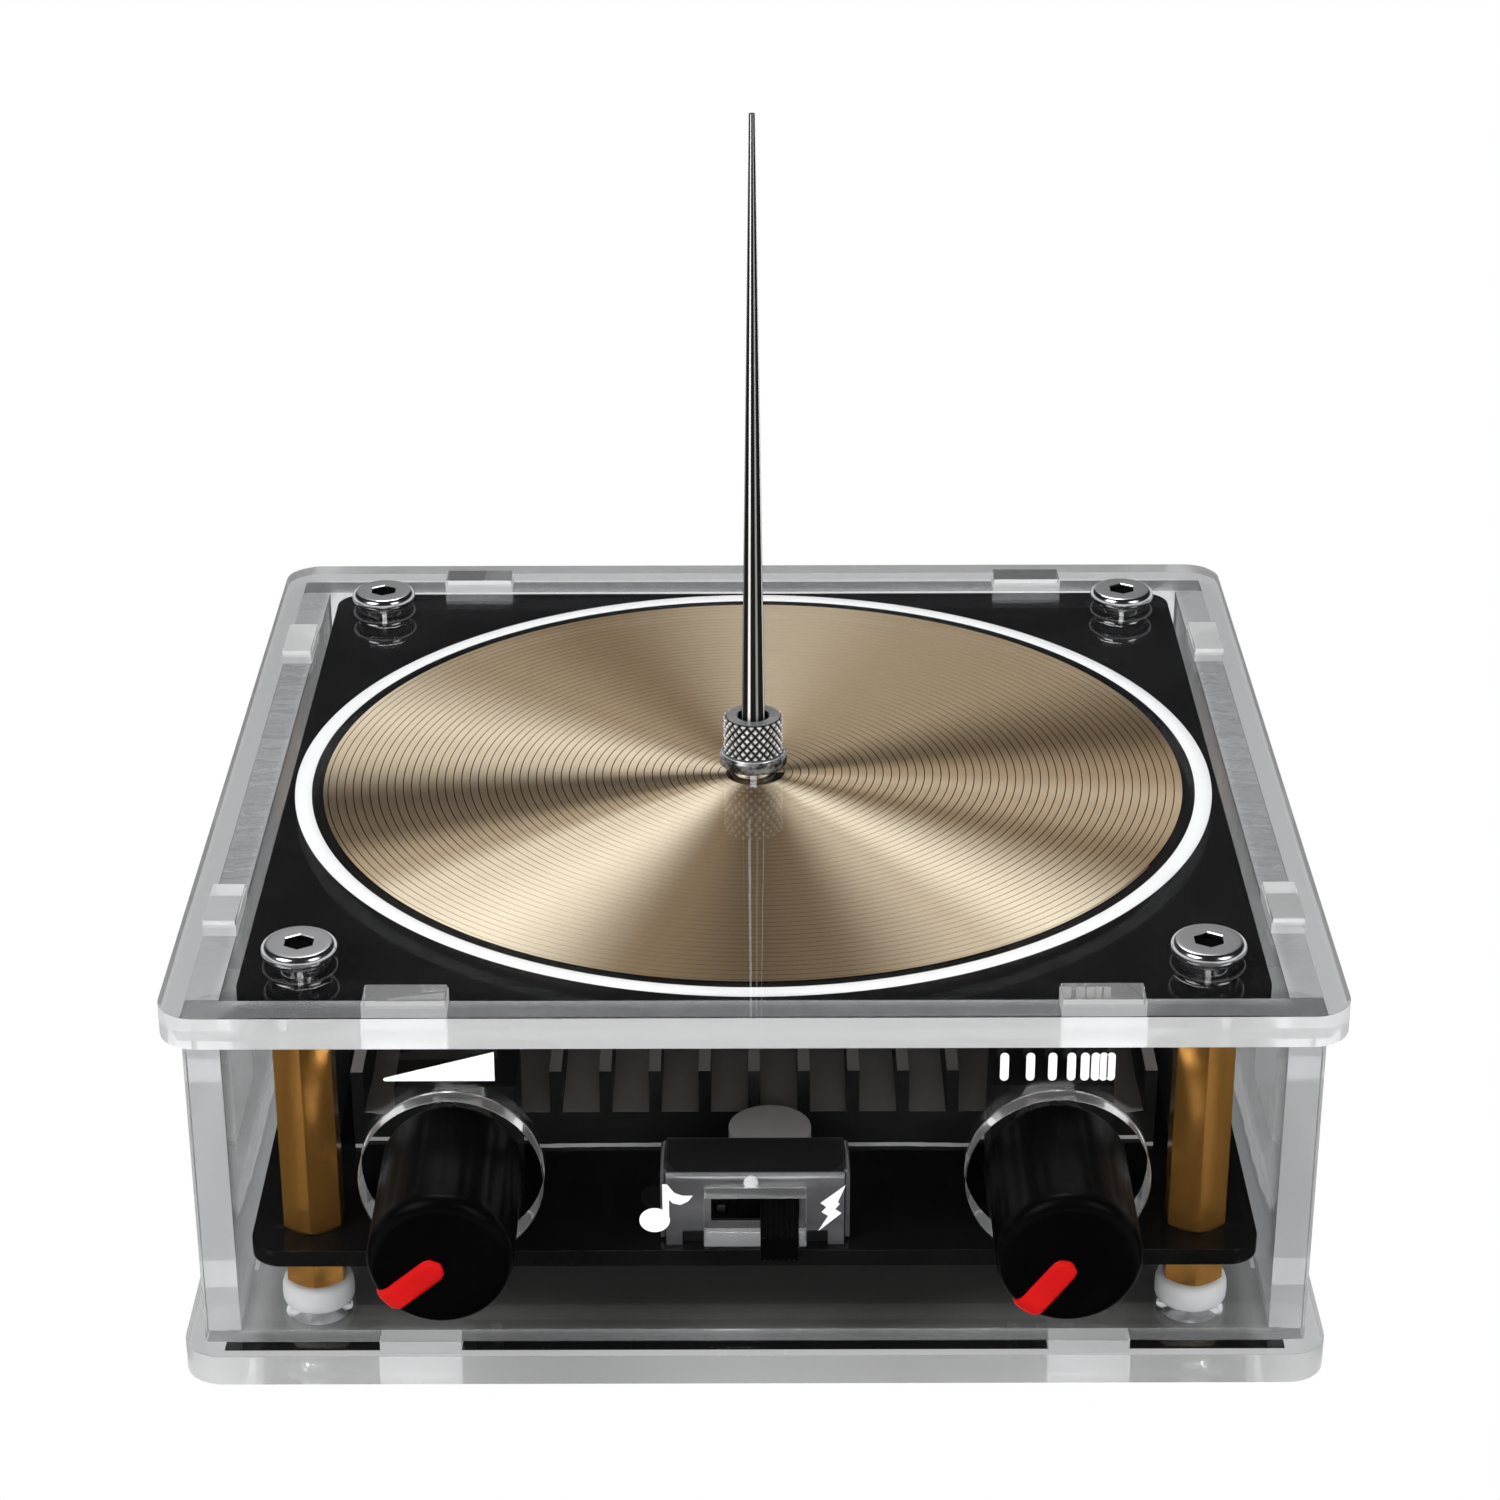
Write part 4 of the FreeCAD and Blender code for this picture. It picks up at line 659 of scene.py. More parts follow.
def wedgeOutline(left, right, low, high, tip):
    return arcPoints((left + tip, low + tip), tip, 100, 270, 8) + [(right, low), (right, high)]


def barOutline(x, low, high, width):
    r = width / 2
    return arcPoints((x, high - r), r, 0, 180, 8) + arcPoints((x, low + r), r, 180, 360, 8)


# a note: head, stem and flag; and a spark
noteHead = arcPoints((0, 0), 1.0, 58, 378, 24)
noteOutline = [(-8.6 + px * 1.315, 15.4 + pz * 1.21) for px, pz in noteHead]
noteOutline += [
    (-7.35, 17.45), (-7.0, 17.1), (-6.35, 16.95), (-5.7, 17.3), (-5.3, 17.85),
    (-6.2, 17.85), (-6.9, 18.15), (-7.5, 19.0), (-7.9, 19.0),
]
sparkOutline = [
    (7.81, 18.87), (5.67, 17.09), (6.17, 16.68), (5.76, 16.17), (6.33, 15.81),
    (5.49, 14.26), (7.47, 16.07), (6.92, 16.47), (7.31, 16.98), (7.15, 17.19),
]
buildMark("powerWedgePrint", wedgeOutline(-31.3, -21.9, 29.3, 32.1, 0.16))
for index, x in enumerate((21.08, 23.27, 25.13, 26.72, 27.86, 28.75, 29.43, 30.05)):
    buildMark("frequencyBarPrint%d" % (index + 1), barOutline(x, 29.2, 31.9, 0.74))
buildMark("soundMarkPrint", noteOutline)
buildMark("sparkMarkPrint", sparkOutline)
print("print laid on")


# knurled nut that clamps the needle
nut = {
    "flangeRadius": 3.22, "flangeHeight": 1.25, "bodyRadius": 2.85, "holeRadius": 1.45, "neckRadius": 2.5,
    "knurlDepth": 0.30, "knurlCount": 21, "knurlRise": 0.47, "knurlGap": 0.16, "edge": 0.12,
    "steps": 420, "levels": 84, "sharp": 24,
}
nutLook = {
    # the valley tone is painted shade; the flange tones are painted reflections
    "valleyShade": (0.003, 0.003, 0.003), "ridge": (0.97, 0.97, 0.97), "top": (0.30, 0.30, 0.305),
    "flangeDark": (0.006, 0.006, 0.006), "flangeLight": (0.26, 0.26, 0.265), "metallic": 0.5,
}


# nickel with light painted into its colour: the knurl's valleys and the bore are dark as painted shade,
# ridges bright, the flange blotched dark and light as painted reflections; faces that look up take a plain
# grey
def makeNutNickel(flangeTop):
    look = nutLook
    mat, tree, shader = newMaterial("nickel_nut")
    place = coordinates(tree)
    squares = [addMath(tree, "MULTIPLY", place[axis], place[axis]) for axis in "XY"]
    away = addMath(tree, "SQRT", addMath(tree, "ADD", *squares))
    deepest = (nut["bodyRadius"] - nut["knurlDepth"] * 0.8) * mm
    ridge = remap(tree, away, 0.0, 1.0, deepest, (nut["bodyRadius"] - 0.04) * mm)
    colour = mixColours(tree, ridge, look["valleyShade"], look["ridge"])
    reflectionBlotch = remap(tree, addNoise(tree, 900.0, 3.0, (1, 1, 1.6)), 0.0, 1.0, 0.42, 0.6)
    flange = mixColours(tree, reflectionBlotch, look["flangeDark"], look["flangeLight"])
    above = remap(tree, place["Z"], 0.0, 1.0, flangeTop - 0.06 * mm, flangeTop)
    colour = mixColours(tree, above, flange, colour)
    wander = addNoise(tree, 600.0)
    setInputs(tree, shader, {
        "Base Color": mixColours(tree, facesUp(tree), colour, look["top"]),
        "Metallic": look["metallic"], "Roughness": remap(tree, wander, 0.22, 0.34),
    })
    addBump(tree, shader, wander, 0.03)
    return mat


def buildNut():
    low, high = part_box("knurled_nut")
    centre = Vector(((low.x + high.x) / 2, (low.y + high.y) / 2, 0))
    base, top = low.z / mm, high.z / mm
    flangeTop = base + nut["flangeHeight"]
    startKnurl, endKnurl = flangeTop + nut["knurlGap"], top - nut["edge"]

    def saw(value):
        return abs((value % 1.0) * 2 - 1)

    def knurl(radius, angle, height):
        z = height / mm
        if not startKnurl <= z <= endKnurl or radius / mm < nut["bodyRadius"] - 0.01:
            return radius
        across = angle / (2 * math.pi) * nut["knurlCount"]
        up = (z - startKnurl) / nut["knurlRise"] / 2
        ridge = min(saw(across + up), saw(across - up))
        return radius - nut["knurlDepth"] * (1 - min(1.0, ridge * 1.12)) * mm

    body, flange, hole, neck = nut["bodyRadius"], nut["flangeRadius"], nut["holeRadius"], nut["neckRadius"]
    profile = [(hole, base + 0.15), (hole + 0.15, base), (flange - 0.14, base), (flange, base + 0.14)]
    profile += [(flange, flangeTop - 0.30), (flange - 0.22, flangeTop), (neck, flangeTop + 0.01)]
    profile += [(neck, startKnurl - 0.02)]
    for step in range(nut["levels"] + 1):
        profile.append((body, startKnurl + (endKnurl - startKnurl) * step / nut["levels"]))
    profile += [(body - 0.30, top), (hole + 0.12, top), (hole, top - 0.12)]
    profile.append(profile[0])
    bm = bmesh.new()
    turnProfile(bm, [(r * mm, z * mm) for r, z in profile], nut["steps"], centre, knurl)
    nickel = makeNutNickel(flangeTop * mm)
    detail = finishMesh("knurledNutDetail", bm, nickel, "terminal_nut", ("knurled_nut",))
    splitEdges(detail, nut["sharp"])


buildNut()
print("nut knurled")


# control knobs with a red pointer let into each
knob = {
    "flutes": 18, "fluteDepth": 0.08, "fluteStart": 1.2, "fluteEnd": (1.0, 0.8), "rim": 1.35,
    "dome": 0.024, "domeSteps": (0.02, 0.3, 0.6, 0.85), "skirt": 0.35, "steps": 216,
    "sideSteps": (0.04, 0.08, 0.12, 0.2, 0.5, 0.8, 0.9, 0.95, 0.98, 1.0), "hollow": 0.6, "face": 5.0,
    "pointerWidth": 2.5, "pointerProud": 0.40, "pointerStart": -0.25, "pointerSunk": 0.12,
    "pointerSheet": 0.25, "pointerSteps": 12,
}


def buildKnob(side):
    low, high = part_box(side + "_knob")
    body = side + "_control"
    centre = Vector(((low.x + high.x) / 2, 0, (low.z + high.z) / 2))
    radius = (high.z - low.z) / 2
    front, back = low.y, high.y
    rim, skirt = knob["rim"] * mm, knob["skirt"] * mm

    def flute(r, angle, y):
        if r < radius - 0.02 * mm:
            return r
        depth = knob["fluteDepth"] * mm * (0.5 - 0.5 * math.cos(angle * knob["flutes"])) ** 3
        along = (y - front - rim) / (knob["fluteStart"] * mm)
        tail = (back - knob["fluteEnd"][0] * mm - y) / (knob["fluteEnd"][1] * mm)
        return r - depth * max(0.0, min(1.0, along, tail))

    profile = []
    for share in knob["domeSteps"]:
        profile.append((share * (radius - rim), front + knob["dome"] * mm * share ** 2))
    profile += arcPoints((radius - rim, front + rim), rim, -90, 0, 10)
    for share in knob["sideSteps"]:
        profile.append((radius, front + rim + (back - front - rim - skirt) * share))
    hollow = radius * knob["hollow"]
    profile += [(radius - skirt * 0.3, back - skirt * 0.3), (radius - skirt, back)]
    profile += [(radius * 0.62, back), (hollow, back - 0.3 * mm), (hollow, front + knob["face"] * mm)]
    bm = bmesh.new()
    rings = turnProfile(bm, profile, knob["steps"], centre, flute, "Y")
    capRing(bm, rings[0])
    capRing(bm, rings[-1])
    finishMesh(side + "KnobShell", bm, blackPlastic, body, (side + "_knob",))
    buildPointer(side, body, centre, radius, front, rim)


# a path of distance out, depth and facing: up the face, round the rim and back along the side
def buildPointer(side, body, centre, radius, face, rim):
    low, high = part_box(side + "_knob_pointer")
    away = Vector(((low.x + high.x) / 2 - centre.x, 0, (low.z + high.z) / 2 - centre.z)).normalized()
    across = Vector((-away.z, 0, away.x))
    half = knob["pointerWidth"] * mm / 2
    proud = knob["pointerProud"] * mm
    inner = knob["pointerStart"] * mm
    path = []
    for share in range(11):
        path.append((inner + (radius - rim - inner) * share / 10, 0.0, 0.0, -1.0))
    for angle in range(9, 91, 9):
        a = math.radians(angle)
        path.append((radius - rim + rim * math.sin(a), rim - rim * math.cos(a), math.sin(a), -math.cos(a)))
    tailEnd = high.y - face
    for share in range(1, 7):
        path.append((radius, rim + (tailEnd - rim) * share / 6, 1.0, 0.0))
    length = [0.0]
    for first, second in zip(path, path[1:]):
        length.append(length[-1] + math.hypot(second[0] - first[0], second[1] - first[1]))
    total = length[-1]
    count = knob["pointerSteps"]
    bm = bmesh.new()
    rows = []
    for (out, depth, normalOut, normalDepth), run in zip(path, length):
        nearest = min(run, total - run)
        narrow = 1.0 if nearest > half else math.sqrt(max(0.02, 1 - (1 - nearest / half) ** 2))
        row = []
        for step in range(count + 1):
            u = -1 + 2 * step / count
            lift = proud * (1 - u ** 4) * min(1.0, narrow * 1.2) - knob["pointerSunk"] * mm
            base = centre + away * out + Vector((0, face + depth, 0))
            normal = away * normalOut + Vector((0, normalDepth, 0))
            row.append(bm.verts.new(base + normal * lift + across * u * half * narrow))
        rows.append(row)
    skinRows(bm, rows, closed=False)
    obj = finishMesh(side + "KnobPointer", bm, redPlastic, body, (side + "_knob_pointer",))
    thick = obj.modifiers.new("body", "SOLIDIFY")
    thick.thickness = knob["pointerSheet"] * mm
    thick.offset = -1


for side in ("power", "frequency"):
    buildKnob(side)
print("knobs turned")


# nylon spacers under the short standoffs
spacer = {"radius": 3.2 * mm, "bore": 1.6 * mm, "lip": 0.15 * mm, "steps": 64}
nylonLook = {
    "colour": (0.60, 0.605, 0.61), "second": (0.71, 0.715, 0.72), "rough": 0.34, "bump": 0.06,
    "depth": 1.2, "cloudScale": 300.0, "grainScale": 2600.0,
}


def makeNylon():
    look = nylonLook
    mat, tree, shader = newMaterial("white_nylon")
    cloud = addNoise(tree, look["cloudScale"])
    setInputs(tree, shader, {
        "Base Color": mixColours(tree, cloud, look["colour"], look["second"]),
        "Roughness": look["rough"], "Subsurface Weight": 0.6,
        "Subsurface Radius": (look["depth"],) * 3, "Subsurface Scale": look["depth"] * mm,
    })
    addBump(tree, shader, addNoise(tree, look["grainScale"]), look["bump"])
    return mat


def buildSpacers():
    low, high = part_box("nylon_spacers")
    radius, bore, lip = spacer["radius"], spacer["bore"], spacer["lip"]
    tall = high.z - low.z
    profile = [(bore, 0.1 * tall), (bore + lip, 0), (radius * 0.90, 0), (radius * 0.96, 0.05 * tall)]
    profile += [(radius * 0.99, 0.15 * tall), (radius, 0.4 * tall), (radius * 0.99, 0.66 * tall)]
    profile += [(radius * 0.95, 0.84 * tall), (radius * 0.87, 0.95 * tall), (radius * 0.76, tall)]
    profile += [(bore + lip, tall), (bore, 0.9 * tall), (bore, 0.1 * tall)]
    bm = bmesh.new()
    for place in cornerPlaces("nylon_spacers", radius):
        turnProfile(bm, profile, spacer["steps"], place)
    finishMesh("nylonSpacerSet", bm, makeNylon(), "case", ("nylon_spacers",))


buildSpacers()
print("spacers moulded")


# supply capacitors: crimped sleeve with a plain pale stripe, and a metal top with a cross vent
can = {
    "round": 0.5, "crimpFrom": 1.3, "crimpDeep": 0.35, "crimpTall": 1.3, "lip": 1.1, "sunk": 0.14,
    "vent": 0.16, "ventDeep": 0.1, "stripe": 46, "stripeAt": (68, 84), "stripeThick": 0.05,
    "stripeSunk": 0.02, "stripeSteps": 16, "steps": 72, "sharp": 38,
}


def buildCapacitors():
    low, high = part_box("bulk_capacitors")
    radius = (high.y - low.y) / 2
    r, top = radius / mm, (high.z - low.z) / mm
    places = [(low.x + radius, low.y + radius, low.z), (high.x - radius, low.y + radius, low.z)]
    crimp, deep, tall = can["crimpFrom"], can["crimpDeep"], can["crimpTall"]
    profile = arcPoints((r - can["round"], can["round"]), can["round"], -90, 0, 5)
    profile += [(r, crimp), (r - deep, crimp + tall * 0.35)]
    profile += [(r - deep, crimp + tall * 0.65), (r, crimp + tall)]
    profile += arcPoints((r - can["round"], top - can["round"]), can["round"], 0, 90, 6)
    profile += [(r - can["lip"], top), (r - can["lip"] - 0.05, top - can["sunk"])]
    bm = bmesh.new()
    turnSet(bm, profile, can["steps"], places)
    cans = finishMesh("capacitorSleeves", bm, sleeve, "case", ("bulk_capacitors",))
    splitEdges(cans, can["sharp"])
    half, wide = can["vent"], r - can["lip"] - 0.06
    upper, lower = top - 0.03, top - can["sunk"] + 0.005
    reach = math.sqrt(wide ** 2 - half ** 2)
    start = math.degrees(math.atan2(half, reach))
    outline = [(half, half)] + arcPoints((0, 0), wide, start, 90 - start, 12)
    bm = bmesh.new()
    turnSet(bm, [(wide, lower - can["ventDeep"]), (wide, lower)], can["steps"], places)
    for place in places:
        for quarter in range(4):
            turn = Matrix.Rotation(quarter * math.pi / 2, 3, "Z")
            rows = []
            for height in (lower, upper):
                corners = [Vector(place) + turn @ Vector((x * mm, y * mm, height * mm)) for x, y in outline]
                rows.append([bm.verts.new(corner) for corner in corners])
            skinRows(bm, rows, capped=True)
    finishMesh("capacitorTops", bm, aluminium, "case", (), False)
    foot, tip = crimp + tall + 0.1, top - 0.7
    inside, outside = r - can["stripeSunk"], r + can["stripeThick"]
    section = ((inside, foot), (outside, foot), (outside, tip), (inside, tip))
    steps = can["stripeSteps"]
    bm = bmesh.new()
    for place, middle in zip(places, can["stripeAt"]):
        rows = []
        for step in range(steps + 1):
            angle = math.radians(middle + can["stripe"] * (step / steps - 0.5))
            across = (math.cos(angle), math.sin(angle))
            row = [Vector((a * across[0], a * across[1], z)) * mm for a, z in section]
            rows.append([bm.verts.new(Vector(place) + corner) for corner in row])
        skinRows(bm, rows, capped=True)
    finishMesh("capacitorStripes", bm, padGrey, "case")


buildCapacitors()
print("capacitors sleeved")


# slide switch: bent metal shell, and a lever with ribs for the finger
switch = {
    "sheet": 0.4, "bend": 0.55, "frontInset": 0.2, "slotHalf": 3.75, "slotSide": 0.1, "slotAbove": 0.2,
    "endInset": 0.1, "endFlapInset": 0.75, "endFlapFoot": 0.3, "edge": 0.05, "sharp": 30,
    "notchInner": 4.35, "notchOuter": 6.35, "notchHeight": 1.45,
    "dimple": 0.66, "dimpleProud": 0.17, "dimpleAside": 0.35, "dimpleBelow": 0.85,
}
lever = {
    "ribs": 7, "ribDepth": 0.16, "ribSteps": 4, "width": 3.3, "low": 12.95, "thick": 2.5,
    "tipEdge": 0.12, "tipShare": 0.94, "long": 8.4, "sliderDeep": 3.6, "sliderEdge": 0.15,
}


# sheet metal: cells between the across values and the steps of a path, some left out as holes
def addSheet(bm, across, path, missing, thick, toWorld):
    grid = {}
    for i, u in enumerate(across):
        for j, (point, normal) in enumerate(path):
            for side, sink in enumerate((0.0, thick)):
                at = (point[0] - normal[0] * sink, point[1] - normal[1] * sink)
                grid[i, j, side] = bm.verts.new(toWorld(u, at[0], at[1]))
    cells = {(i, j) for i in range(len(across) - 1) for j in range(len(path) - 1)} - set(missing)
    for i, j in cells:
        for side in (0, 1):
            corners = [grid[i, j, side], grid[i + 1, j, side], grid[i + 1, j + 1, side], grid[i, j + 1, side]]
            bm.faces.new(corners if side else corners[::-1])
        rims = {
            (i - 1, j): ((i, j), (i, j + 1)), (i + 1, j): ((i + 1, j), (i + 1, j + 1)),
            (i, j - 1): ((i, j), (i + 1, j)), (i, j + 1): ((i, j + 1), (i + 1, j + 1)),
        }
        for beside, (a, b) in rims.items():
            if beside not in cells:
                bm.faces.new((grid[(*a, 0)], grid[(*b, 0)], grid[(*b, 1)], grid[(*a, 1)]))


# down leg from the start, round bend at the corner, then along to the end, in the path's own plane
def bendPath(start, corner, end, bend, rows=()):
    (x0, z0), (x1, z1), (x2, z2) = start, corner, end
    ahead = 1 if x2 > x1 else -1
    path = [((x0, z), (-ahead, 0)) for z in [z0, *rows, z1 - bend]]
    for step in range(1, 6):
        a = math.radians(90 * step / 5)
        point = (x1 + ahead * bend * (1 - math.cos(a)), z1 - bend + bend * math.sin(a))
        path.append((point, (-ahead * math.cos(a), math.sin(a))))
    path.append(((x2, z2), (0, 1)))
    return path


def buildSwitch():
    low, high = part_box("switch_shell")
    size = {key: value * mm for key, value in switch.items()}
    sheet, bend = size["sheet"], size["bend"]
    middle = (low.x + high.x) / 2
    front, back, floor, top = low.y + size["frontInset"], high.y, low.z, high.z
    slotHalf = size["slotHalf"] + size["slotSide"]
    slotLow = lever["low"] * mm - size["slotAbove"]
    slotHigh = (lever["low"] + lever["thick"]) * mm + size["slotAbove"]
    inner, outer = size["notchInner"], size["notchOuter"]
    across = [low.x + sheet + size["endInset"], middle - outer, middle - inner, middle - slotHalf]
    across += [middle + slotHalf, middle + inner, middle + outer, high.x - sheet - size["endInset"]]
    rows = [floor + size["notchHeight"], slotLow, slotHigh]
    centre = (front + back) / 2
    path = bendPath((front, floor), (front, top), (centre, top), bend, rows)
    rear = bendPath((back, floor), (back, top), (centre, top), bend)
    path += rear[-2::-1]
    missing = {(1, 0), (5, 0), (3, 2)}
    bm = bmesh.new()
    addSheet(bm, across, path, missing, sheet, lambda u, a, b: (u, a, b))
    inset = size["endFlapInset"]
    for edge, start in ((low.x, across[0]), (high.x, across[-1])):
        flap = bendPath((edge, floor + size["endFlapFoot"]), (edge, top), (start, top), abs(start - edge))
        addSheet(bm, [front + inset, back - inset], flap[:-1], (), sheet, lambda u, a, b: (a, u, b))
    shell = finishMesh("switchShellBent", bm, switchSteel, "case", ("switch_shell",))
    soften = shell.modifiers.new("soften", "BEVEL")
    soften.width = size["edge"]
    soften.segments = 2
    soften.angle_limit = math.radians(40)
    splitEdges(shell, switch["sharp"])
    disc = [(0.1, 0.0), (0.5, -0.01), (0.85, 0.05), (1.0, 0.18), (1.0, 0.3)]
    steps = [(share * size["dimple"], front - size["dimpleProud"] + out * mm) for share, out in disc]
    bm = bmesh.new()
    spot = (middle - size["dimpleAside"], 0, top - size["dimpleBelow"])
    rings = turnProfile(bm, steps, 32, spot, None, "Y")
    capRing(bm, rings[0])
    capRing(bm, rings[-1])
    finishMesh("switchDimple", bm, padGrey, "case")


def buildLever():
    low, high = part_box("switch_lever")
    size = {key: value * mm for key, value in lever.items()}
    half, base = size["width"] / 2, size["low"]
    top = base + size["thick"]
    middle, centreZ = (low.x + high.x) / 2, (base + top) / 2
    count = lever["ribs"] * lever["ribSteps"]
    ribs = []
    for step in range(count + 1):
        wave = 0.5 - 0.5 * math.cos(2 * math.pi * step / lever["ribSteps"])
        ribs.append((-half + 2 * half * step / count, wave * size["ribDepth"]))
    section = [(u, top - cut) for u, cut in ribs] + [(u, base + cut) for u, cut in reversed(ribs)]
    tip, root = low.y, low.y + size["long"]
    bm = bmesh.new()
    rows = []
    for y, shrink in ((tip, lever["tipShare"]), (tip + size["tipEdge"], 1.0), (root, 1.0)):
        row = [(middle + u * shrink, y, centreZ + (z - centreZ) * shrink) for u, z in section]
        rows.append([bm.verts.new(corner) for corner in row])
    skinRows(bm, rows, capped=True)
    replaced = ("switch_lever",)
    finishMesh("switchLeverRibbed", bm, blackPlastic, "mode_lever", replaced, False)
    deep = size["sliderDeep"]
    bm = bmesh.new()
    bmesh.ops.create_cube(bm, size=1)
    block = Matrix.Diagonal((high.x - low.x, deep, high.z - low.z, 1))
    place = Vector((middle, high.y - deep / 2, (low.z + high.z) / 2))
    bmesh.ops.transform(bm, matrix=Matrix.Translation(place) @ block, verts=bm.verts)
    bmesh.ops.bevel(bm, geom=bm.edges[:], offset=size["sliderEdge"], segments=3, affect="EDGES")
    finishMesh("switchSlider", bm, blackPlastic, "mode_lever", (), False)


buildSwitch()
buildLever()
print("switch bent and ribbed")


# floor, world, lamps and camera; the floor glows by itself where it is seen and not shaded
stageLook = {
    "floorSize": 14.0, "floorColour": (0.90, 0.90, 0.90, 1), "shadowReach": 30 * mm,
    "glow": (0.05, 1.0, 0.05, 0.50), "glowShare": (0.10, 1.0, 0.05, 0.42),
    # painted shade: the dark sheet under the case, its fade and its edge band
    "shadeSheetHalf": 46.6 * mm, "shadeSheetFade": (36 * mm, 45.5 * mm), "edgeShadowBand": (45.0 * mm, 45.4 * mm),
    "shadeSheetTones": ((0.13, 0.127, 0.123), (0.42, 0.42, 0.42)), "edgeShadowTone": (0.015, 0.015, 0.015),
    "cardStart": 51 * mm, "cardEnd": 1.5, "cardHalf": 56 * mm, "cardSpread": 0.18,
    "cardColour": (0.01, 0.01, 0.01, 1),
    "sky": ((0.17, (1, 1, 1)), (0.33, (0.02, 0.02, 0.022))),
}


def stageMesh(name, bm, mat, height):
    mesh = bpy.data.meshes.new(name)
    bm.to_mesh(mesh)
    bm.free()
    mesh.materials.append(mat)
    obj = bpy.data.objects.new(name, mesh)
    obj.location.z = height
    bpy.context.scene.collection.objects.link(obj)
    return obj


def makeFloor():
    mat, tree, shader = newMaterial("studio_floor")
    tree.nodes.remove(shader)
    plain = addNode(tree, "BsdfDiffuse")
    plain.inputs["Color"].default_value = stageLook["floorColour"]
    shade = addNode(tree, "AmbientOcclusion", samples=16)
    shade.inputs["Distance"].default_value = stageLook["shadowReach"]
    openness = shade.outputs["AO"]
    white = addNode(tree, "Emission")
    setInputs(tree, white, {"Strength": remap(tree, openness, *stageLook["glow"])})
    paths = addNode(tree, "LightPath").outputs
    seen = addMath(tree, "MAXIMUM", paths["Is Camera Ray"], paths["Is Glossy Ray"])
    seen = addMath(tree, "MAXIMUM", seen, paths["Is Transmission Ray"])
    share = addMath(tree, "MULTIPLY", seen, remap(tree, openness, *stageLook["glowShare"]))
    showShader(tree, mixShaders(tree, share, plain.outputs["BSDF"], white.outputs["Emission"]))
    bm = bmesh.new()
    bmesh.ops.create_grid(bm, x_segments=4, y_segments=4, size=stageLook["floorSize"] / 2)
    stageMesh("studioFloor", bm, mat, -0.02 * mm)


# a thin dark sheet under the case stands in for the shade beneath it and fades towards its left and right
# ends; a darker band of painted shadow runs near its front and back edges
def makeShadeSheet():
    mat, tree, shader = newMaterial("studio_shade_sheet")
    place = coordinates(tree)
    fade = remap(tree, addMath(tree, "ABSOLUTE", place["X"]), 0.0, 1.0, *stageLook["shadeSheetFade"])
    edgeShadow = remap(tree, addMath(tree, "ABSOLUTE", place["Y"]), 0.0, 1.0, *stageLook["edgeShadowBand"])
    tone = mixColours(tree, fade, *stageLook["shadeSheetTones"])
    setInputs(tree, shader, {
        "Base Color": mixColours(tree, edgeShadow, tone, stageLook["edgeShadowTone"]),
        "Roughness": 0.9, "Specular IOR Level": 0.0,
    })
    bm = bmesh.new()
    bmesh.ops.create_grid(bm, x_segments=2, y_segments=2, size=stageLook["shadeSheetHalf"])
    stageMesh("studioShadeSheet", bm, mat, -0.01 * mm)


# four dark cards lie on the floor out of the camera's sight, so that metal and polished sheet
# have something dark to mirror between bright gaps, as in a studio
def makeCards():
    mat, tree, shader = newMaterial("studio_card")
    tree.nodes.remove(shader)
    dark = addNode(tree, "BsdfDiffuse")
    dark.inputs["Color"].default_value = stageLook["cardColour"]
    nothing = addNode(tree, "BsdfTransparent")
    paths = addNode(tree, "LightPath").outputs
    mirrored = addMath(tree, "GREATER_THAN", paths["Glossy Depth"], 0.5)
    showShader(tree, mixShaders(tree, mirrored, nothing.outputs["BSDF"], dark.outputs["BSDF"]))
    start, end, half = stageLook["cardStart"], stageLook["cardEnd"], stageLook["cardHalf"]
    far = half + (end - start) * stageLook["cardSpread"]
    corners = [(-half, -start, 0), (half, -start, 0), (far, -end, 0), (-far, -end, 0)]
    bm = bmesh.new()
    for quarter in range(4):
        turn = Matrix.Rotation(quarter * math.pi / 2, 3, "Z")
        bm.faces.new([bm.verts.new(turn @ Vector(corner)) for corner in corners])
    cards = stageMesh("studioCards", bm, mat, 0.1 * mm)
    cards.visible_camera = cards.visible_diffuse = cards.visible_shadow = False


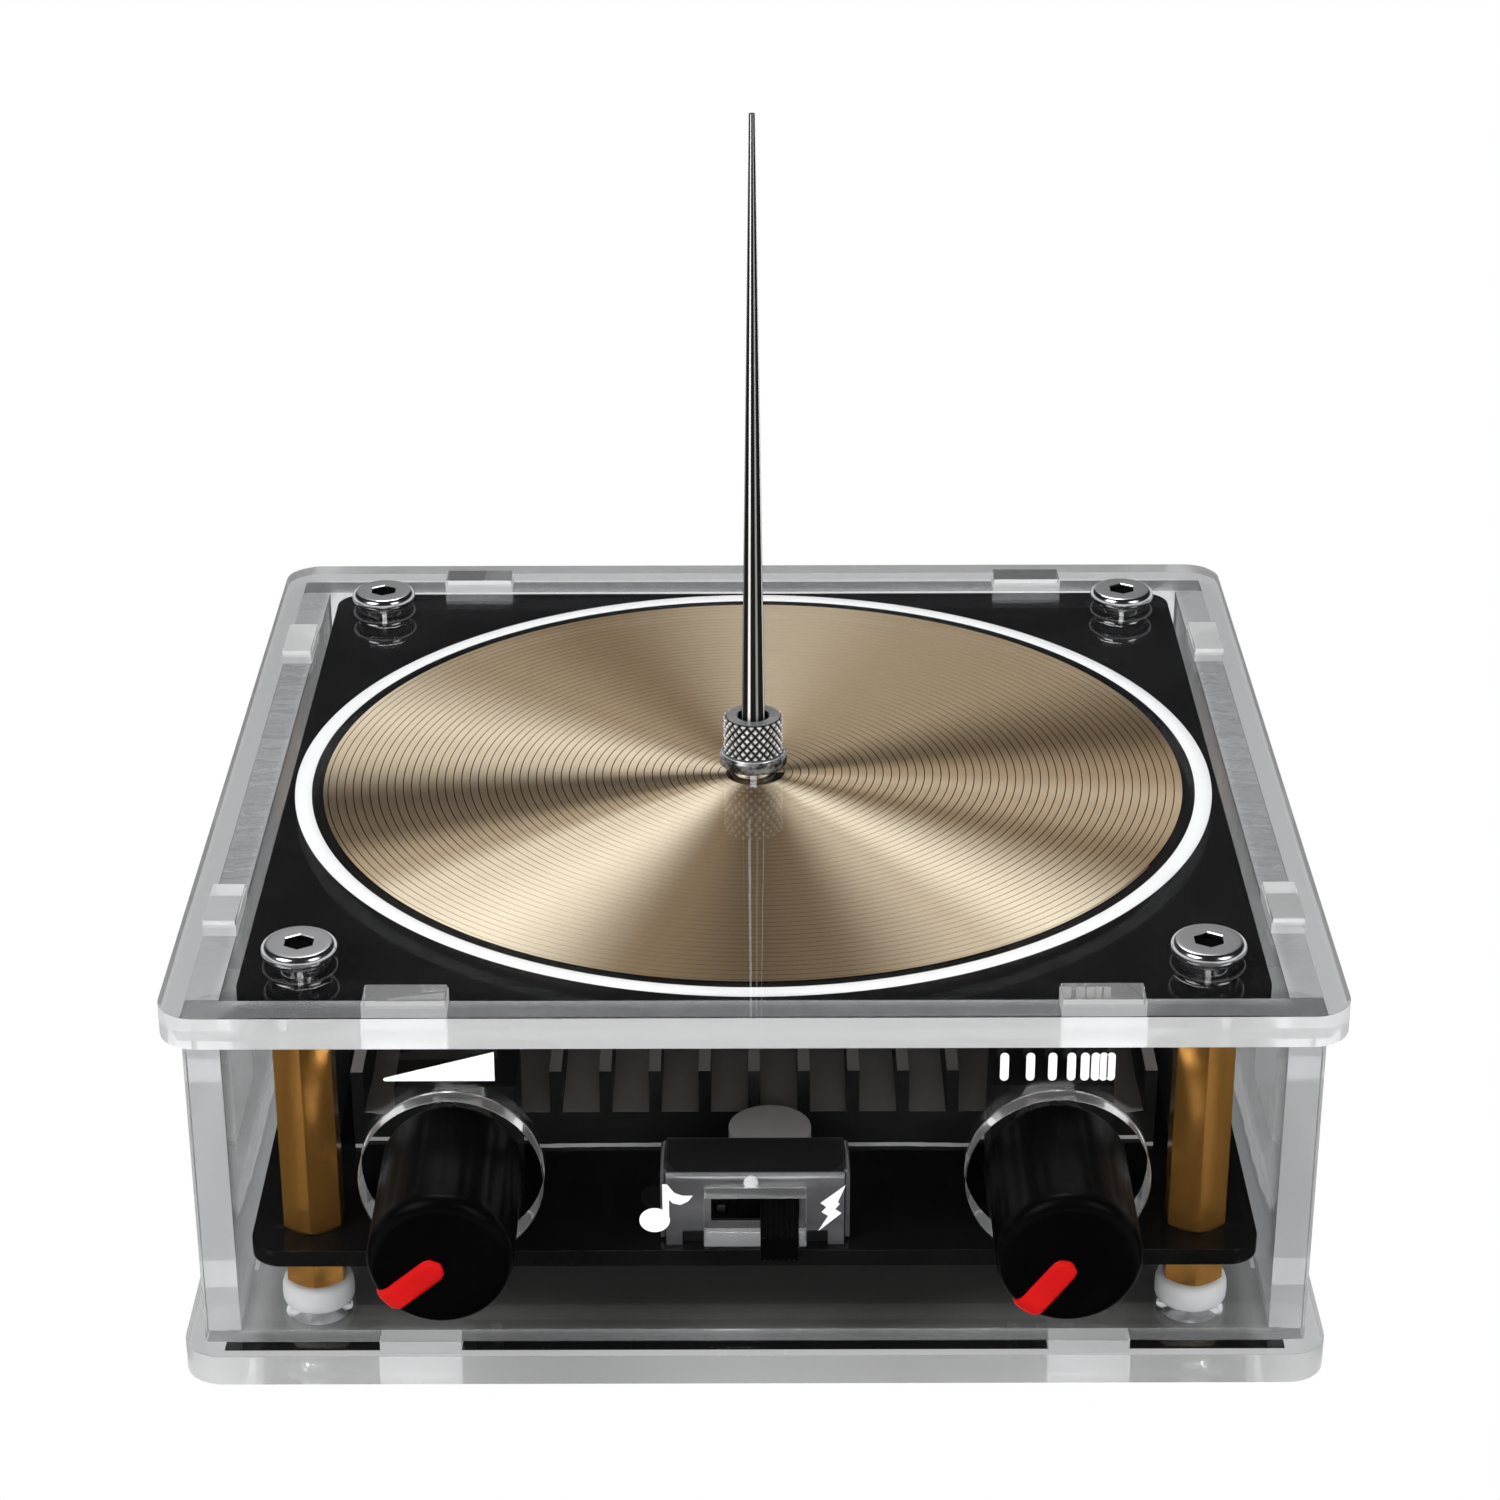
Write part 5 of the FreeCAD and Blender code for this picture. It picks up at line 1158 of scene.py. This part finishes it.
def makeWorld():
    world = bpy.data.worlds.new("studioWorld")
    bpy.context.scene.world = world
    world.use_nodes = True
    tree = world.node_tree
    sky = addRamp(tree, coordinates(tree, "Generated")["Z"], stageLook["sky"])
    setInputs(tree, tree.nodes["Background"], {"Color": sky, "Strength": 1.0})


# each lamp: azimuth and height in degrees seen from the part, distance, size, watts,
# and whether polished faces mirror it
lamps = {
    "keyLamp": (215, 48, 0.9, 0.42, 4.0, True),
    "fillLamp": (322, 42, 0.95, 0.36, 2.4, True),
    "backLamp": (95, 56, 0.9, 0.32, 3.0, True),
    "topLamp": (250, 78, 0.95, 0.40, 2.2, False),
    "frontLamp": (270, 14, 0.9, 0.5, 2.7, False),
}
lampAim = Vector((0, 0, 0.03))


def addLamp(name, azimuth, height, distance, size, watts, mirrored):
    light = bpy.data.lights.new(name, "AREA")
    light.size = size
    light.energy = watts
    lamp = bpy.data.objects.new(name, light)
    lamp.visible_glossy = mirrored
    a, h = math.radians(azimuth), math.radians(height)
    away = Vector((math.cos(a) * math.cos(h), math.sin(a) * math.cos(h), math.sin(h)))
    lamp.location = lampAim + away * distance
    lamp.rotation_euler = away.to_track_quat("Z", "Y").to_euler()
    bpy.context.scene.collection.objects.link(lamp)


# the photograph's camera, fitted to the case's corners; angles in degrees
view = {
    "lens": 84.683, "sensor": 36.0, "clip": (0.01, 50.0),
    "place": (-0.161 * mm, -304.59 * mm, 181.594 * mm), "pitch": 25.267, "yaw": 0.028, "roll": -0.151,
}


def addCamera():
    data = bpy.data.cameras.new("photoCamera")
    data.lens = view["lens"]
    data.sensor_width = view["sensor"]
    data.clip_start, data.clip_end = view["clip"]
    camera = bpy.data.objects.new("photoCamera", data)
    turn = Matrix.Rotation(math.radians(view["yaw"]), 4, "Z")
    tilt = Matrix.Rotation(math.radians(90 - view["pitch"]), 4, "X")
    roll = Matrix.Rotation(math.radians(view["roll"]), 4, "Z")
    camera.matrix_world = Matrix.Translation(view["place"]) @ turn @ tilt @ roll
    bpy.context.scene.collection.objects.link(camera)
    bpy.context.scene.camera = camera


makeFloor()
makeShadeSheet()
makeCards()
makeWorld()
for name, values in lamps.items():
    addLamp(name, *values)
addCamera()
bpy.context.scene.view_settings.view_transform = "Standard"
print("stage set")
